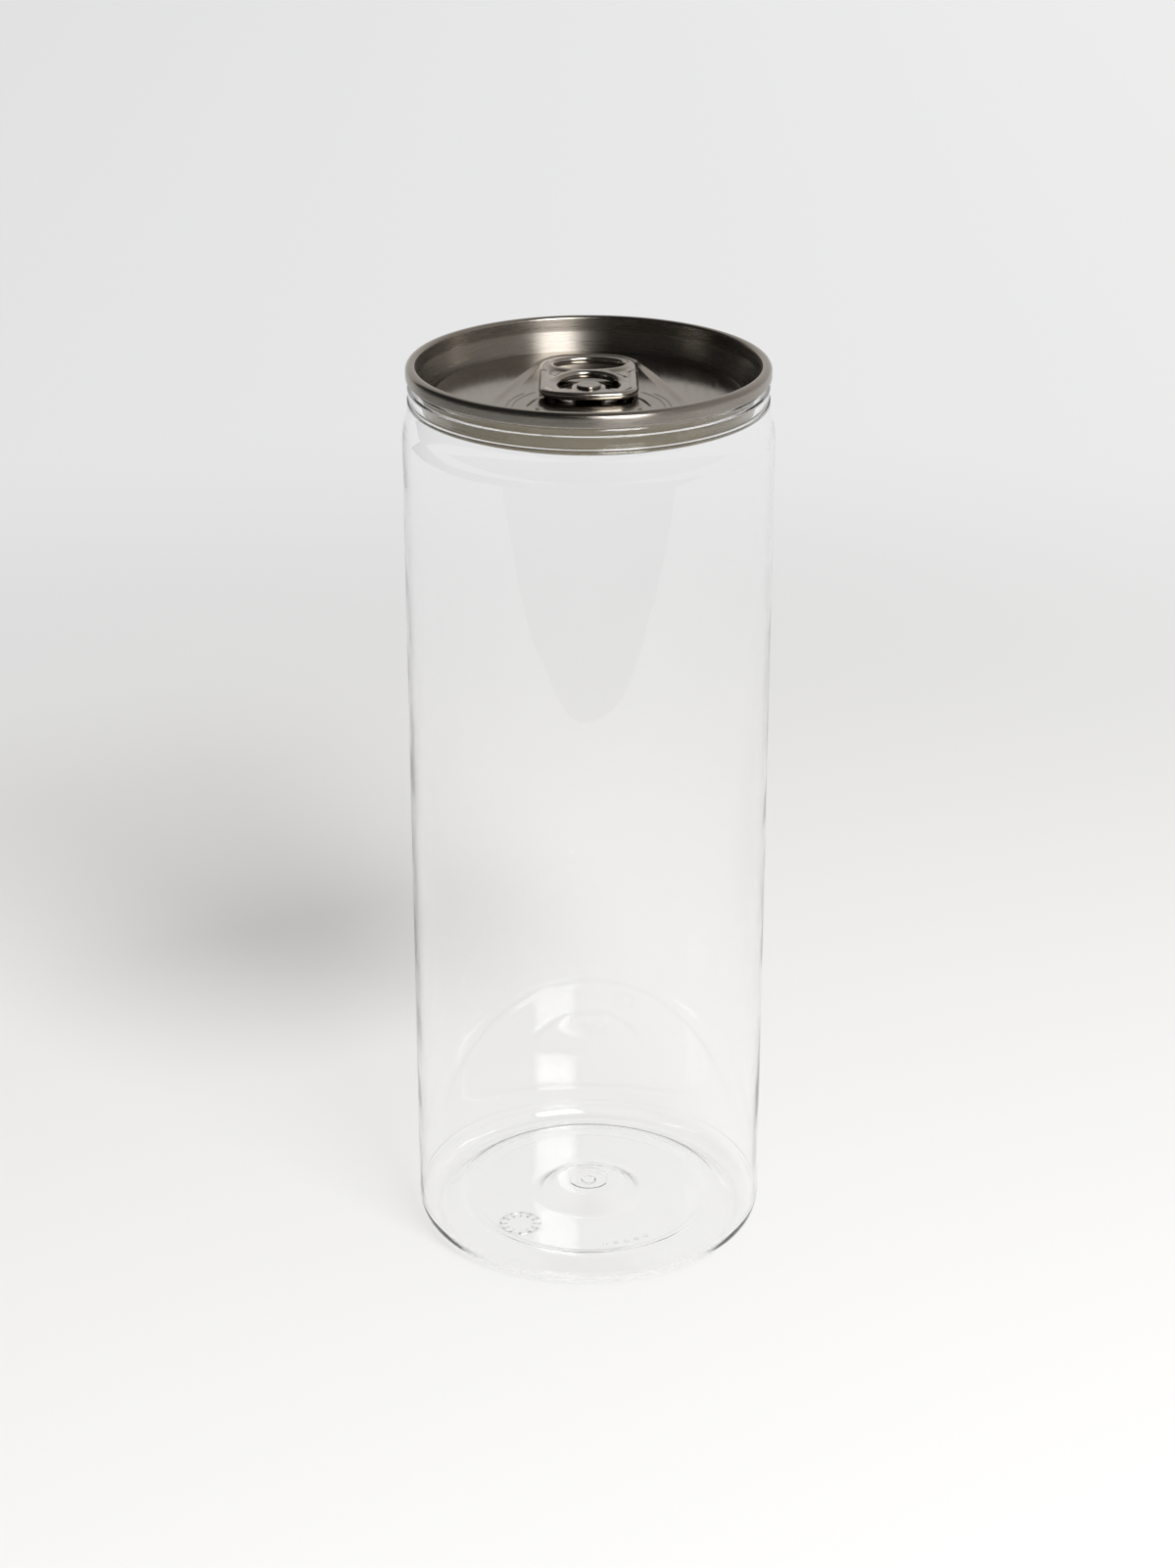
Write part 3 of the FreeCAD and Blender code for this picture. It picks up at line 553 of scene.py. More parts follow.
# ---------------------------------------------------------------- end
@dataclass
class CanEnd:
    """Easy-open end: seam, chuck wall, countersink and panel of one sheet, with its rivet."""

    seam: Seam
    chuck_lean: float = 1.4
    sink_half: float = 0.7
    sink_drop: float = 2.2
    panel_depth: float = 5.2
    panel_corner: float = 0.5
    chuck_round: float = 1.6
    face_round: float = 1.0
    field_margin: float = 1.63
    field_depth: float = 0.4
    field_slope: float = 1.2
    field_taper: float = 16.8
    field_corner: float = 3.4
    score_radius: float = 12.5
    score_pitch: float = 1.0
    score_half: float = 0.15
    score_depth: float = 0.1
    score_top: float = 1.4
    guard_margin: float = 1.15
    guard_top: float = 0.6
    ring_inset: float = 3.3
    ring_ahead: float = 1.0
    ring_half: float = 0.95
    ring_height: float = 0.35
    ring_sweep: float = 286.0
    head_radius: float = 2.0
    head_top: float = 3.78
    head_edge: float = 0.2
    head_under: float = 4.2
    head_under_round: float = 0.1
    head_dish: float = 0.08
    dish_share: float = 0.55
    dish_round: float = 0.6
    shank_radius: float = 1.6
    shank_round: float = 0.08
    boss_radius: float = 2.5
    boss_round: float = 0.2
    boss_foot: float = 3.1
    boss_spread: float = 0.9
    foot_round: float = 0.5
    foot_lap: float = 0.01
    seat_depth: float = 4.5
    line_step: float = 0.55
    edge_step: float = 0.42
    edge_margin: float = 0.4
    slope_rings: int = 8
    rim_rings: int = 18

    @property
    def sink_middle(self) -> float:
        """Radius of the countersink's middle."""
        return self.seam.chuck_in - self.chuck_lean - self.sink_half

    @property
    def panel_flat(self) -> float:
        """Radius at which the panel's flat ends."""
        return self.sink_middle - self.sink_half - self.panel_corner

    @property
    def guard_radius(self) -> float:
        """Radius of the outer score."""
        return self.score_radius + self.score_pitch

    @property
    def near_radius(self) -> float:
        """Radius of the sunk field's pouring end."""
        return self.guard_radius + self.guard_margin + self.field_slope

    @property
    def pour_ahead(self) -> float:
        """How far the tear panel's centre lies in front of the rivet."""
        return self.panel_flat - self.field_margin - self.near_radius

    @property
    def panel_z(self) -> float:
        """Height of the panel."""
        return self.seam.at(self.panel_depth)

    @property
    def floor_z(self) -> float:
        """Height of the sunk field's floor."""
        return self.panel_z - self.field_depth

    def outline(self) -> list[Corner]:
        """Outer face of the sheet.

        Returns:
            Corners from the hook's edge over the rim and down to the panel.
        """
        seam = self.seam
        hook_edge = seam.sheet + seam.gap + seam.flange + seam.hook_play
        foot = seam.turn_radius * 0.999
        sink_floor = seam.at(self.panel_depth + self.sink_drop)
        sink = self.sink_half * 0.98
        return [
            Corner(seam.hook_in, seam.at(hook_edge)),
            Corner(seam.hook_in, seam.at(seam.height), foot),
            Corner(seam.outside, seam.at(seam.height), foot),
            Corner(seam.outside, seam.rim, self.face_round),
            Corner(seam.chuck_in, seam.rim, seam.corner),
            Corner(seam.chuck_in, seam.at(seam.height), self.chuck_round),
            Corner(self.sink_middle + self.sink_half, sink_floor, sink),
            Corner(self.sink_middle - self.sink_half, sink_floor, sink),
            Corner(self.sink_middle - self.sink_half, self.panel_z, self.panel_corner),
            Corner(self.panel_flat, self.panel_z)]

    def into_field(self, x: float, y: float) -> float:
        """How far a point lies inside the sunk field's edge.

        Args:
            x: Place across, in millimetres.
            y: Place along, in millimetres.

        Returns:
            The distance in millimetres, negative outside.
        """
        taper = math.radians(self.field_taper)
        across, along = abs(x), y + self.pour_ahead
        past = along * math.cos(taper) - across * math.sin(taper)
        if past <= 0:
            side = self.near_radius - math.hypot(across, along)
        else:
            side = self.near_radius - (across * math.cos(taper) + along * math.sin(taper))
        far = self.panel_flat - self.field_margin - math.hypot(x, y)
        corner = self.field_corner
        if side < corner and far < corner and y > 0:
            return corner - math.hypot(corner - side, corner - far)
        return min(side, far)

    def height(self, x: float, y: float) -> float:
        """Height of the panel's pressed relief over its flat level.

        Args:
            x: Place across, in millimetres.
            y: Place along, in millimetres.

        Returns:
            The height in millimetres.
        """
        rise = -self.field_depth * smoothstep(self.into_field(x, y) / self.field_slope)
        around = math.hypot(x, y + self.pour_ahead)
        for radius, top in ((self.score_radius, self.score_top), (self.guard_radius, self.guard_top)):
            if y < top:
                rise -= self.score_depth * max(0.0, 1 - abs(around - radius) / self.score_half)
        ring_y = y + self.pour_ahead + self.ring_ahead
        reach = self.score_radius - self.ring_inset
        aside = abs(math.hypot(x, ring_y) - reach) / self.ring_half
        if aside < 1:
            gap = math.pi - math.radians(self.ring_sweep) / 2
            behind = abs(math.atan2(x, ring_y))
            fade = smoothstep((behind - gap) * reach / self.ring_half + 0.5)
            rise += self.ring_height * (1 - aside * aside) * fade
        return rise

    def spoke(self) -> list[float]:
        """Radii of the panel's mesh rings.

        Returns:
            The radii in order, close together where the sheet is scored.
        """
        half = self.score_half
        radii = [0.0]
        while radii[-1] < self.score_radius - 6 * half:
            radii.append(radii[-1] + self.line_step)
        for radius in (self.score_radius, self.guard_radius):
            radii += [radius - 2 * half, radius - half, radius, radius + half, radius + 2 * half]
        start, rings = self.near_radius - self.field_slope, self.slope_rings
        radii += [start + self.field_slope * i / rings for i in range(rings + 1)]
        span = self.panel_flat - self.near_radius
        radii += [self.near_radius + span * i / self.rim_rings for i in range(1, self.rim_rings + 1)]
        return sorted(radii)

    def panel(self) -> bmesh.types.BMesh:
        """The panel: a flat disc, refined along the field's edge and pressed to its relief.

        Returns:
            Its mesh.
        """
        mesh = bmesh.new()
        spoke = [mesh.verts.new((r * MM, -self.pour_ahead * MM, 0.0)) for r in self.spoke()]
        for start, end in zip(spoke, spoke[1:]):
            mesh.edges.new((start, end))
        spun(mesh, (0.0, -self.pour_ahead))
        span = self.panel_flat - self.near_radius
        for vert in mesh.verts:
            radius = math.hypot(vert.co.x, vert.co.y + self.pour_ahead * MM) / MM
            share = min(max((radius - self.near_radius) / span, 0.0), 1.0)
            vert.co.y += self.pour_ahead * share * MM
        for finest in (self.edge_step, self.edge_step * 0.6):
            self.refine(mesh, finest)
        for vert in mesh.verts:
            vert.co.z = (self.panel_z + self.height(vert.co.x / MM, vert.co.y / MM)) * MM
        return mesh

    def refine(self, mesh: bmesh.types.BMesh, finest: float) -> None:
        """Halve the long edges along the field's slope.

        Args:
            mesh: The panel's flat mesh.
            finest: Length in millimetres under which an edge is left.
        """
        chosen = []
        for edge in mesh.edges:
            middle = (edge.verts[0].co + edge.verts[1].co) / 2 / MM
            inside = self.into_field(middle.x, middle.y)
            on_slope = -self.edge_margin < inside < self.field_slope + self.edge_margin
            if on_slope and edge.calc_length() > finest * MM:
                chosen.append(edge)
        bmesh.ops.subdivide_edges(mesh, edges=chosen, cuts=1, use_grid_fill=True)

    def rivet(self) -> bmesh.types.BMesh:
        """Rivet drawn from the panel: base, shank and flattened head.

        Returns:
            Its mesh, an open shell that stands on the panel.
        """
        seam = self.seam
        seat, under = seam.at(self.seat_depth), seam.at(self.head_under)
        top = seam.at(self.head_top)
        return spun(turned_outline([
            Corner(self.boss_foot + self.boss_spread, self.floor_z - self.foot_lap),
            Corner(self.boss_foot, self.floor_z + self.foot_lap, self.foot_round),
            Corner(self.boss_radius, seat, self.boss_round),
            Corner(self.shank_radius, seat, self.shank_round),
            Corner(self.shank_radius, under, self.shank_round),
            Corner(self.head_radius, under, self.head_under_round),
            Corner(self.head_radius, top, self.head_edge),
            Corner(self.head_radius * self.dish_share, top - self.head_dish * 0.3, self.dish_round),
            Corner(0.0, top - self.head_dish)], closed=False, arc_step=12.0), steps=96)

    def build(self, finish: "EndSheet", inside: "GoldLacquer") -> list[bpy.types.Object]:
        """Form the sheet and its rivet and dress them.

        Args:
            finish: The end's finish outside.
            inside: Its finish towards the drink.

        Returns:
            The sheet and the rivet.
        """
        mesh = spun(turned_outline(self.outline(), closed=False, arc_step=9.0))
        join(mesh, self.panel())
        bmesh.ops.remove_doubles(mesh, verts=mesh.verts[:], dist=2 * DOUBLE * MM)
        bmesh.ops.recalc_face_normals(mesh, faces=mesh.faces[:])
        turn_up(mesh)
        material = finish.material()
        sheet = finish_piece(
            "end_sheet", mesh, material, ("can_end",), wall=self.seam.sheet,
            inside=inside.material())
        rivet = self.rivet()
        turn_up(rivet)
        return [sheet, finish_piece("rivet", rivet, material, ("can_end",))]


# ---------------------------------------------------------------- pull tab
def ray_hit(polygon: Polygon, start: Point, towards: Point) -> Point:
    """Where a ray from inside a closed outline leaves it.

    Args:
        polygon: Points of the outline.
        start: Place inside it.
        towards: A point that the ray passes.

    Returns:
        The point on the outline.
    """
    dx, dy = towards[0] - start[0], towards[1] - start[1]
    best = 0.0
    for (ax, ay), (bx, by) in zip(polygon, polygon[1:] + polygon[:1]):
        ex, ey = bx - ax, by - ay
        cross = dx * ey - dy * ex
        if abs(cross) < 1e-12:
            continue
        along = ((ax - start[0]) * ey - (ay - start[1]) * ex) / cross
        share = ((ax - start[0]) * dy - (ay - start[1]) * dx) / cross
        if along > best and -1e-9 <= share <= 1 + 1e-9:
            best = along
    return (start[0] + dx * best, start[1] + dy * best)


def outline_distance(polygon: Polygon, x: float, y: float) -> float:
    """Distance from a point to a closed outline.

    Args:
        polygon: Points of the outline.
        x: Place across, in the outline's units.
        y: Place along.

    Returns:
        The distance in the same units.
    """
    best = math.inf
    for (ax, ay), (bx, by) in zip(polygon, polygon[1:] + polygon[:1]):
        ex, ey = bx - ax, by - ay
        share = ((x - ax) * ex + (y - ay) * ey) / (ex * ex + ey * ey)
        share = min(max(share, 0.0), 1.0)
        best = min(best, math.hypot(x - ax - ex * share, y - ay - ey * share))
    return best


def rolled(distance: float, radius: float) -> float:
    """How far a hem's rounded face lies below its top.

    Args:
        distance: Distance from the hem's edge.
        radius: Radius of the rounding.

    Returns:
        The drop, 0 past the rounding.
    """
    if distance >= radius:
        return 0.0
    return radius - math.sqrt(radius * radius - (radius - max(distance, 0.0)) ** 2)


def even_steps(points: Polygon, count: int) -> Polygon:
    """Points at even steps along an open path.

    Args:
        points: The path.
        count: How many points, both ends among them.

    Returns:
        The evenly placed points.
    """
    lengths = [math.dist(a, b) for a, b in zip(points, points[1:])]
    total = sum(lengths)
    placed = []
    for number in range(count):
        left = total * number / (count - 1)
        for (ax, ay), (bx, by), length in zip(points, points[1:], lengths):
            if left <= length + 1e-9:
                share = left / length if length else 0.0
                placed.append((ax + (bx - ax) * share, ay + (by - ay) * share))
                break
            left -= length
    return placed


@dataclass
class PullTab:
    """Stay-on tab: a hemmed frame round two holes, and the tongue that is riveted down."""

    seam: Seam
    half: float = 8.2
    under: float = 5.2
    hem_height: float = 1.4
    hem_round: float = 0.66
    rim_round: float = 0.6
    nose_reach: float = 5.5
    nose_bow: float = 22.0
    nose_corner: float = 4.0
    grip_reach: float = 17.5
    grip_bow: float = 24.0
    grip_corner: float = 5.4
    window_side: float = 3.15
    window_nose: float = 2.1
    window_flat: float = 0.45
    bar_start: float = 7.7
    bar_width: float = 1.6
    finger_side: float = 2.4
    finger_grip: float = 1.2
    finger_flat: float = 0.85
    web_dish: float = 0.5
    web_start: float = 0.75
    web_slope: float = 1.35
    bar_from: float = 2.5
    bar_full: float = 6.5
    hollow_start: float = 1.1
    hollow_slope: float = 0.9
    hollow: float = 0.6
    tongue_lift: float = 0.7
    tongue_wall: float = 0.3
    tongue_half: float = 2.75
    tongue_back: float = 2.7
    tongue_root: float = 0.9
    apron_back: float = 1.25
    notch_radius: float = 0.35
    tongue_bevel: float = 0.07
    hole_radius: float = 1.64
    corner_points: int = 16
    bow_points: int = 12
    oval_points: int = 25
    bar_points: int = 29
    side_points: int = 118
    hem_rings: tuple[float, ...] = (0.03, 0.08, 0.15, 0.24, 0.34, 0.46, 0.6)
    web_rings: int = 7

    def corner_arc(self, reach: float, bow: float, corner: float) -> tuple[float, float, float]:
        """Corner rounding that joins the straight side to a bowed end.

        Args:
            reach: How far the end stands from the rivet.
            bow: Radius of the end's edge.
            corner: Radius of the corner.

        Returns:
            The corner's centre across and along, and the angle at which the arcs meet.
        """
        across = self.half - corner
        up = math.sqrt((bow - corner) ** 2 - across ** 2)
        return across, reach - bow + up, math.atan2(up, across)

    def outline(self) -> tuple[Polygon, Polygon]:
        """Right-hand half of the tab's edge.

        Returns:
            The nose's part and the finger end's part, each from the side in.
        """
        round_points, bow_points = self.corner_points, self.bow_points
        nose_x, nose_y, nose_meet = self.corner_arc(self.nose_reach, self.nose_bow, self.nose_corner)
        grip_x, grip_y, grip_meet = self.corner_arc(self.grip_reach, self.grip_bow, self.grip_corner)
        nose = arc_points((nose_x, -nose_y), self.nose_corner, 0.0, -nose_meet, round_points)
        nose += arc_points(
            (0.0, self.nose_bow - self.nose_reach), self.nose_bow, -nose_meet, -math.pi / 2,
            bow_points)[1:]
        grip = arc_points((grip_x, grip_y), self.grip_corner, 0.0, grip_meet, round_points)
        grip += arc_points(
            (0.0, self.grip_reach - self.grip_bow), self.grip_bow, grip_meet, math.pi / 2,
            bow_points)[1:]
        return nose, grip

    def oval(self, half: float, front: float, back: float, flat: float) -> Polygon:
        """Oval of four arcs.

        Args:
            half: Half its width.
            front: Its nearest point along the tab.
            back: Its farthest point along the tab.
            flat: How much tighter than a circle its ends are.

        Returns:
            Points once round it.
        """
        middle, reach = (front + back) / 2, (back - front) / 2
        upright = reach > half
        longer, shorter = (reach, half) if upright else (half, reach)
        end = shorter - flat
        waist = longer - end
        bow = (waist * waist + shorter * shorter - end * end) / (2 * flat)
        meet = math.atan2(bow - shorter, waist)
        count, back_meet = self.oval_points, math.pi - meet
        points = arc_points((waist, 0.0), end, -meet, meet, count)
        points += arc_points((0.0, shorter - bow), bow, meet, back_meet, count)[1:-1]
        points += arc_points((-waist, 0.0), end, back_meet, math.pi + meet, count)
        points += arc_points((0.0, bow - shorter), bow, math.pi + meet, FULL_TURN - meet, count)[1:-1]
        if upright:
            points = [(-y, x) for x, y in points]
        return [(x, middle + y) for x, y in points]

    def window(self) -> Polygon:
        """Edge of the rivet window."""
        return self.oval(
            self.half - self.window_side, self.window_nose - self.nose_reach, self.bar_start,
            self.window_flat)

    def finger(self) -> Polygon:
        """Edge of the finger hole."""
        return self.oval(
            self.half - self.finger_side, self.bar_start + self.bar_width,
            self.grip_reach - self.finger_grip, self.finger_flat)

    def ring(self, mesh: bmesh.types.BMesh, hole: Polygon, rim: Polygon) -> None:
        """Grow the flat band between a hole and the edge round it, ring by ring.

        Args:
            mesh: Mesh that takes it.
            hole: The hole's edge.
            rim: The edge round it, whose points set the band's spokes.
        """
        centre = (0.0, (min(y for _, y in hole) + max(y for _, y in hole)) / 2)
        inner = [ray_hit(hole, centre, point) for point in rim]
        loop = wire_loop(mesh, inner, 0.0)
        spokes = {
            vert: (Vector((*a, 0.0)) * MM, Vector((*b, 0.0)) * MM)
            for vert, a, b in zip(loop, inner, rim)}
        edges = list(dict.fromkeys(
            edge for vert in loop for edge in vert.link_edges if edge.other_vert(vert) in spokes))
        for number in range(1, 2 * len(self.hem_rings) + self.web_rings + 1):
            made = bmesh.ops.extrude_edge_only(mesh, edges=edges)["geom"]
            fresh = {}
            for vert in (item for item in made if isinstance(item, bmesh.types.BMVert)):
                old = next(e.other_vert(vert) for e in vert.link_edges if e.other_vert(vert) in spokes)
                start, end = spokes[old]
                length = (end - start).length / MM
                vert.co = start.lerp(end, self.ring_place(number, length) / length)
                fresh[vert] = (start, end)
            edges = [
                item for item in made
                if isinstance(item, bmesh.types.BMEdge) and all(v in fresh for v in item.verts)]
            spokes = fresh

    def ring_place(self, number: int, length: float) -> float:
        """Where a ring of the band lies on a spoke: close together at both hems.

        Args:
            number: The ring, counted from the hole.
            length: Length of the spoke in millimetres.

        Returns:
            Its distance from the hole in millimetres.
        """
        hem, web = self.hem_rings, self.web_rings
        # Narrow bands squeeze both hems so that a little web is left between them.
        squeeze = min(1.0, length / 2 / (hem[-1] + 0.05))
        if number <= len(hem):
            return hem[number - 1] * squeeze
        if number <= len(hem) + web:
            first = hem[-1] * squeeze
            return first + (length - 2 * first) * (number - len(hem)) / web
        rest = 2 * len(hem) + web - number
        return length - (hem[rest - 1] * squeeze if rest else 0.0)

    def frame_mesh(self) -> bmesh.types.BMesh:
        """The hemmed frame round both holes.

        Returns:
            Its mesh.
        """
        middle = self.bar_start + self.bar_width / 2
        last = self.bar_points - 1
        bar = [(self.half * (2 * i / last - 1), middle) for i in range(self.bar_points)]
        paths = []
        for half_path in self.outline():
            right = [(self.half, middle)] + half_path
            paths.append(right[:-1] + [(-x, y) for x, y in reversed(right)])
        nose_path, grip_path = paths
        window, finger = self.window(), self.finger()
        mesh = bmesh.new()
        for hole, path in ((window, nose_path), (finger, grip_path)):
            self.ring(mesh, hole, even_steps(path, self.side_points)[1:-1] + bar)
        bmesh.ops.remove_doubles(mesh, verts=mesh.verts[:], dist=1.5 * DOUBLE * MM)
        outer = nose_path + grip_path[::-1][1:-1]
        raised = bmesh.ops.extrude_face_region(mesh, geom=mesh.faces[:])["geom"]
        upper = {item for item in raised if isinstance(item, bmesh.types.BMVert)}
        top = self.seam.at(self.under - self.hem_height)
        bottom = self.seam.at(self.under)
        for vert in mesh.verts:
            x, y = vert.co.x / MM, vert.co.y / MM
            to_edge = outline_distance(outer, x, y)
            to_grip, to_window = outline_distance(finger, x, y), outline_distance(window, x, y)
            to_hole = min(to_window, to_grip)
            drop = max(rolled(to_edge, self.hem_round), rolled(to_hole, self.rim_round))
            # The web sinks towards the window's front and sides; the crossbar's hem stays high.
            on_bar = smoothstep((y - self.bar_from) / (self.bar_full - self.bar_from))
            on_bar *= 1 - smoothstep((to_window - self.web_start) / self.web_slope)
            into_web = smoothstep((min(to_edge, to_grip) - self.web_start) / self.web_slope)
            into_hollow = smoothstep((min(to_edge, to_hole) - self.hollow_start) / self.hollow_slope)
            if vert in upper:
                vert.co.z = (top - drop - self.web_dish * into_web * (1 - on_bar)) * MM
            else:
                vert.co.z = (bottom + drop + self.hollow * into_hollow) * MM
        bmesh.ops.recalc_face_normals(mesh, faces=mesh.faces[:])
        return mesh

    def tongue_mesh(self) -> bmesh.types.BMesh:
        """Apron across the window's front, and the tongue round the rivet.

        Returns:
            Their mesh.
        """
        apron = self.half - self.window_side + self.tongue_root
        root = self.window_nose - self.nose_reach - self.tongue_root
        notch, half = self.notch_radius, self.tongue_half
        step = -self.apron_back
        right = [(apron, root), (apron, step)]
        right += arc_points((half + notch, step), notch, 0.0, -math.pi, 9)
        right += arc_points((0.0, self.tongue_back - half), half, 0.0, math.pi / 2, 16)
        left = [(-x, y) for x, y in reversed(right)]
        mesh = bmesh.new()
        wire_loop(mesh, right[:-1] + left, 0.0)
        wire_loop(mesh, arc_points((0.0, 0.0), self.hole_radius, 0.0, FULL_TURN, 49)[:-1], 0.0)
        bmesh.ops.triangle_fill(mesh, use_beauty=True, use_dissolve=False, edges=mesh.edges[:])
        made = bmesh.ops.extrude_face_region(mesh, geom=mesh.faces[:])["geom"]
        upper = [item for item in made if isinstance(item, bmesh.types.BMVert)]
        under = self.seam.at(self.under - self.tongue_lift) * MM
        bmesh.ops.translate(mesh, verts=mesh.verts[:], vec=(0.0, 0.0, under))
        bmesh.ops.translate(mesh, verts=upper, vec=(0.0, 0.0, self.tongue_wall * MM))
        bmesh.ops.recalc_face_normals(mesh, faces=mesh.faces[:])
        rim = [e for e in mesh.edges if len(e.link_faces) == 2 and e.calc_face_angle(0.0) > 1.2
               and abs(e.verts[0].co.z - e.verts[1].co.z) < 1e-6]
        bmesh.ops.bevel(
            mesh, geom=rim, offset=self.tongue_bevel * MM, offset_type="OFFSET", segments=2,
            profile=0.5, affect="EDGES", material=-1, clamp_overlap=True)
        return mesh

    def build(self, finish: "TabSheet") -> list[bpy.types.Object]:
        """Form the frame and the tongue and dress them.

        Args:
            finish: The tab's finish.

        Returns:
            The frame and the tongue.
        """
        material = finish.material()
        return [
            finish_piece("tab_frame", self.frame_mesh(), material, ("pull_tab",)),
            finish_piece("tab_tongue", self.tongue_mesh(), material, ("pull_tab",))]


# ---------------------------------------------------------------- finishes
def linear(code: str) -> tuple[float, float, float, float]:
    """Turn an sRGB hex value to a linear colour with full alpha.

    Args:
        code: Six hex digits after a #.

    Returns:
        Red, green, blue and alpha.
    """
    values = [int(code.lstrip("#")[i:i + 2], 16) / 255 for i in (0, 2, 4)]
    turned = [v / 12.92 if v <= 0.04045 else ((v + 0.055) / 1.055) ** 2.4 for v in values]
    return (*turned, 1.0)


def add_node(tree: bpy.types.NodeTree, kind: str, links: dict | None = None, **settings) -> bpy.types.Node:
    """Add a node with its settings and links.

    Args:
        tree: Node tree that takes it.
        kind: Node type.
        links: Input name or number to a value, or to the output socket that feeds it.
        **settings: Attributes of the node.

    Returns:
        The node.
    """
    node = tree.nodes.new(kind)
    for name, value in settings.items():
        setattr(node, name, value)
    for name, value in (links or {}).items():
        socket = node.inputs[name]
        if isinstance(value, bpy.types.NodeSocket):
            tree.links.new(value, socket)
        else:
            socket.default_value = value
    return node


def new_material(name: str) -> tuple[bpy.types.Material, bpy.types.NodeTree, bpy.types.NodeSocket]:
    """Start an empty node material.

    Args:
        name: Name of the finish.

    Returns:
        The material, its tree and its output's surface socket.
    """
    material = bpy.data.materials.new(name)
    material.use_nodes = True
    tree = material.node_tree
    tree.nodes.clear()
    output = add_node(tree, "ShaderNodeOutputMaterial")
    return material, tree, output.inputs["Surface"]


@dataclass(frozen=True)
class ClearPet:
    """Blow-moulded PET: water-clear and glossy, with a faint waviness of the wall."""

    tint: str = "#FFFFFF"
    ior: float = 1.575
    roughness: float = 0.012
    wave_mm: float = 16.0
    wave_height: float = 0.085
    true_from: float = 144.0
    true_blend: float = 6.0
    flow_mm: float = 5.0
    flow_height: float = 0.006
    pressed_to: float = 2.0
    free_from: float = 14.0
    ring_mm: float = 3.4
    ring_height: float = 0.03
    ring_reach: float = 15.0
    shade_face: str = "#FDFDFD"
    shade_edge: str = "#E6E6E6"

    def material(self) -> bpy.types.Material:
        """Clear walls that let the lamps' light through to the floor.

        Returns:
            The material.
        """
        material, tree, surface = new_material("clear_pet_moulded")
        place = add_node(tree, "ShaderNodeTexCoord").outputs["Object"]
        # The blown wall is not quite even, which bends reflections a little.
        wave = add_node(tree, "ShaderNodeTexNoise", {
            "Vector": place, "Scale": 1 / (self.wave_mm * MM), "Detail": 1.0, "Roughness": 0.4})
        parts = add_node(tree, "ShaderNodeSeparateXYZ", {"Vector": place})
        blown = add_node(tree, "ShaderNodeMapRange", {
            "Value": parts.outputs["Z"], "From Min": self.true_from * MM,
            "From Max": (self.true_from + self.true_blend) * MM, "To Min": 1.0, "To Max": 0.1})
        bend = add_node(tree, "ShaderNodeBump", {
            "Height": wave.outputs["Fac"], "Strength": blown.outputs["Result"],
            "Distance": self.wave_height * MM})
        # The melt's flow leaves finer upright waves, which the mould presses flat at the heel.
        pressed = add_node(tree, "ShaderNodeMapRange", {
            "Value": parts.outputs["Z"], "From Min": self.pressed_to * MM,
            "From Max": self.free_from * MM, "To Min": 0.1, "To Max": 1.0})
        free = add_node(tree, "ShaderNodeMath", {
            0: pressed.outputs["Result"], 1: blown.outputs["Result"]}, operation="MULTIPLY")
        upright = add_node(tree, "ShaderNodeMapping", {"Vector": place, "Scale": (1.0, 1.0, 0.12)})
        flow = add_node(tree, "ShaderNodeTexNoise", {
            "Vector": upright.outputs["Vector"], "Scale": 1 / (self.flow_mm * MM), "Detail": 2.0})
        bump = add_node(tree, "ShaderNodeBump", {
            "Height": flow.outputs["Fac"], "Strength": free.outputs["Value"],
            "Distance": self.flow_height * MM, "Normal": bend.outputs["Normal"]})
        # Stretching leaves soft rings round the middle of the base.
        rings = add_node(tree, "ShaderNodeTexWave", {
            "Vector": place, "Scale": math.pi / 10 / (self.ring_mm * MM), "Distortion": 1.2,
            "Detail": 1.0, "Detail Scale": 0.6}, wave_type="RINGS", rings_direction="Z")
        middle = add_node(tree, "ShaderNodeVectorMath", {0: place}, operation="LENGTH")
        ring_share = add_node(tree, "ShaderNodeMapRange", {
            "Value": middle.outputs["Value"], "From Min": 0.5 * self.ring_reach * MM,
            "From Max": self.ring_reach * MM, "To Min": 1.0, "To Max": 0.0},
            interpolation_type="SMOOTHSTEP")
        ringed = add_node(tree, "ShaderNodeBump", {
            "Height": rings.outputs["Fac"], "Strength": ring_share.outputs["Result"],
            "Distance": self.ring_height * MM, "Normal": bump.outputs["Normal"]})
        clear = add_node(tree, "ShaderNodeBsdfPrincipled", {
            "Base Color": linear(self.tint), "Roughness": self.roughness, "IOR": self.ior,
            "Transmission Weight": 1.0, "Normal": ringed.outputs["Normal"]})
        # Less light gets through to the floor where it grazes the wall.
        facing = add_node(tree, "ShaderNodeLayerWeight", {"Blend": 0.5})
        grazing = add_node(tree, "ShaderNodeMapRange", {
            "Value": facing.outputs["Facing"], "From Min": 0.75, "From Max": 1.0},
            interpolation_type="SMOOTHSTEP")
        shade = add_node(tree, "ShaderNodeMix", {
            "Factor": grazing.outputs["Result"], 6: linear(self.shade_face),
            7: linear(self.shade_edge)}, data_type="RGBA")
        through = add_node(tree, "ShaderNodeBsdfTransparent", {"Color": shade.outputs[2]})
        path = add_node(tree, "ShaderNodeLightPath")
        soft = add_node(tree, "ShaderNodeMath", {
            0: path.outputs["Is Shadow Ray"], 1: path.outputs["Is Diffuse Ray"]},
            operation="MAXIMUM")
        mixed = add_node(tree, "ShaderNodeMixShader", {
            0: soft.outputs["Value"], 1: clear.outputs["BSDF"], 2: through.outputs["BSDF"]})
        tree.links.new(mixed.outputs["Shader"], surface)
        return material


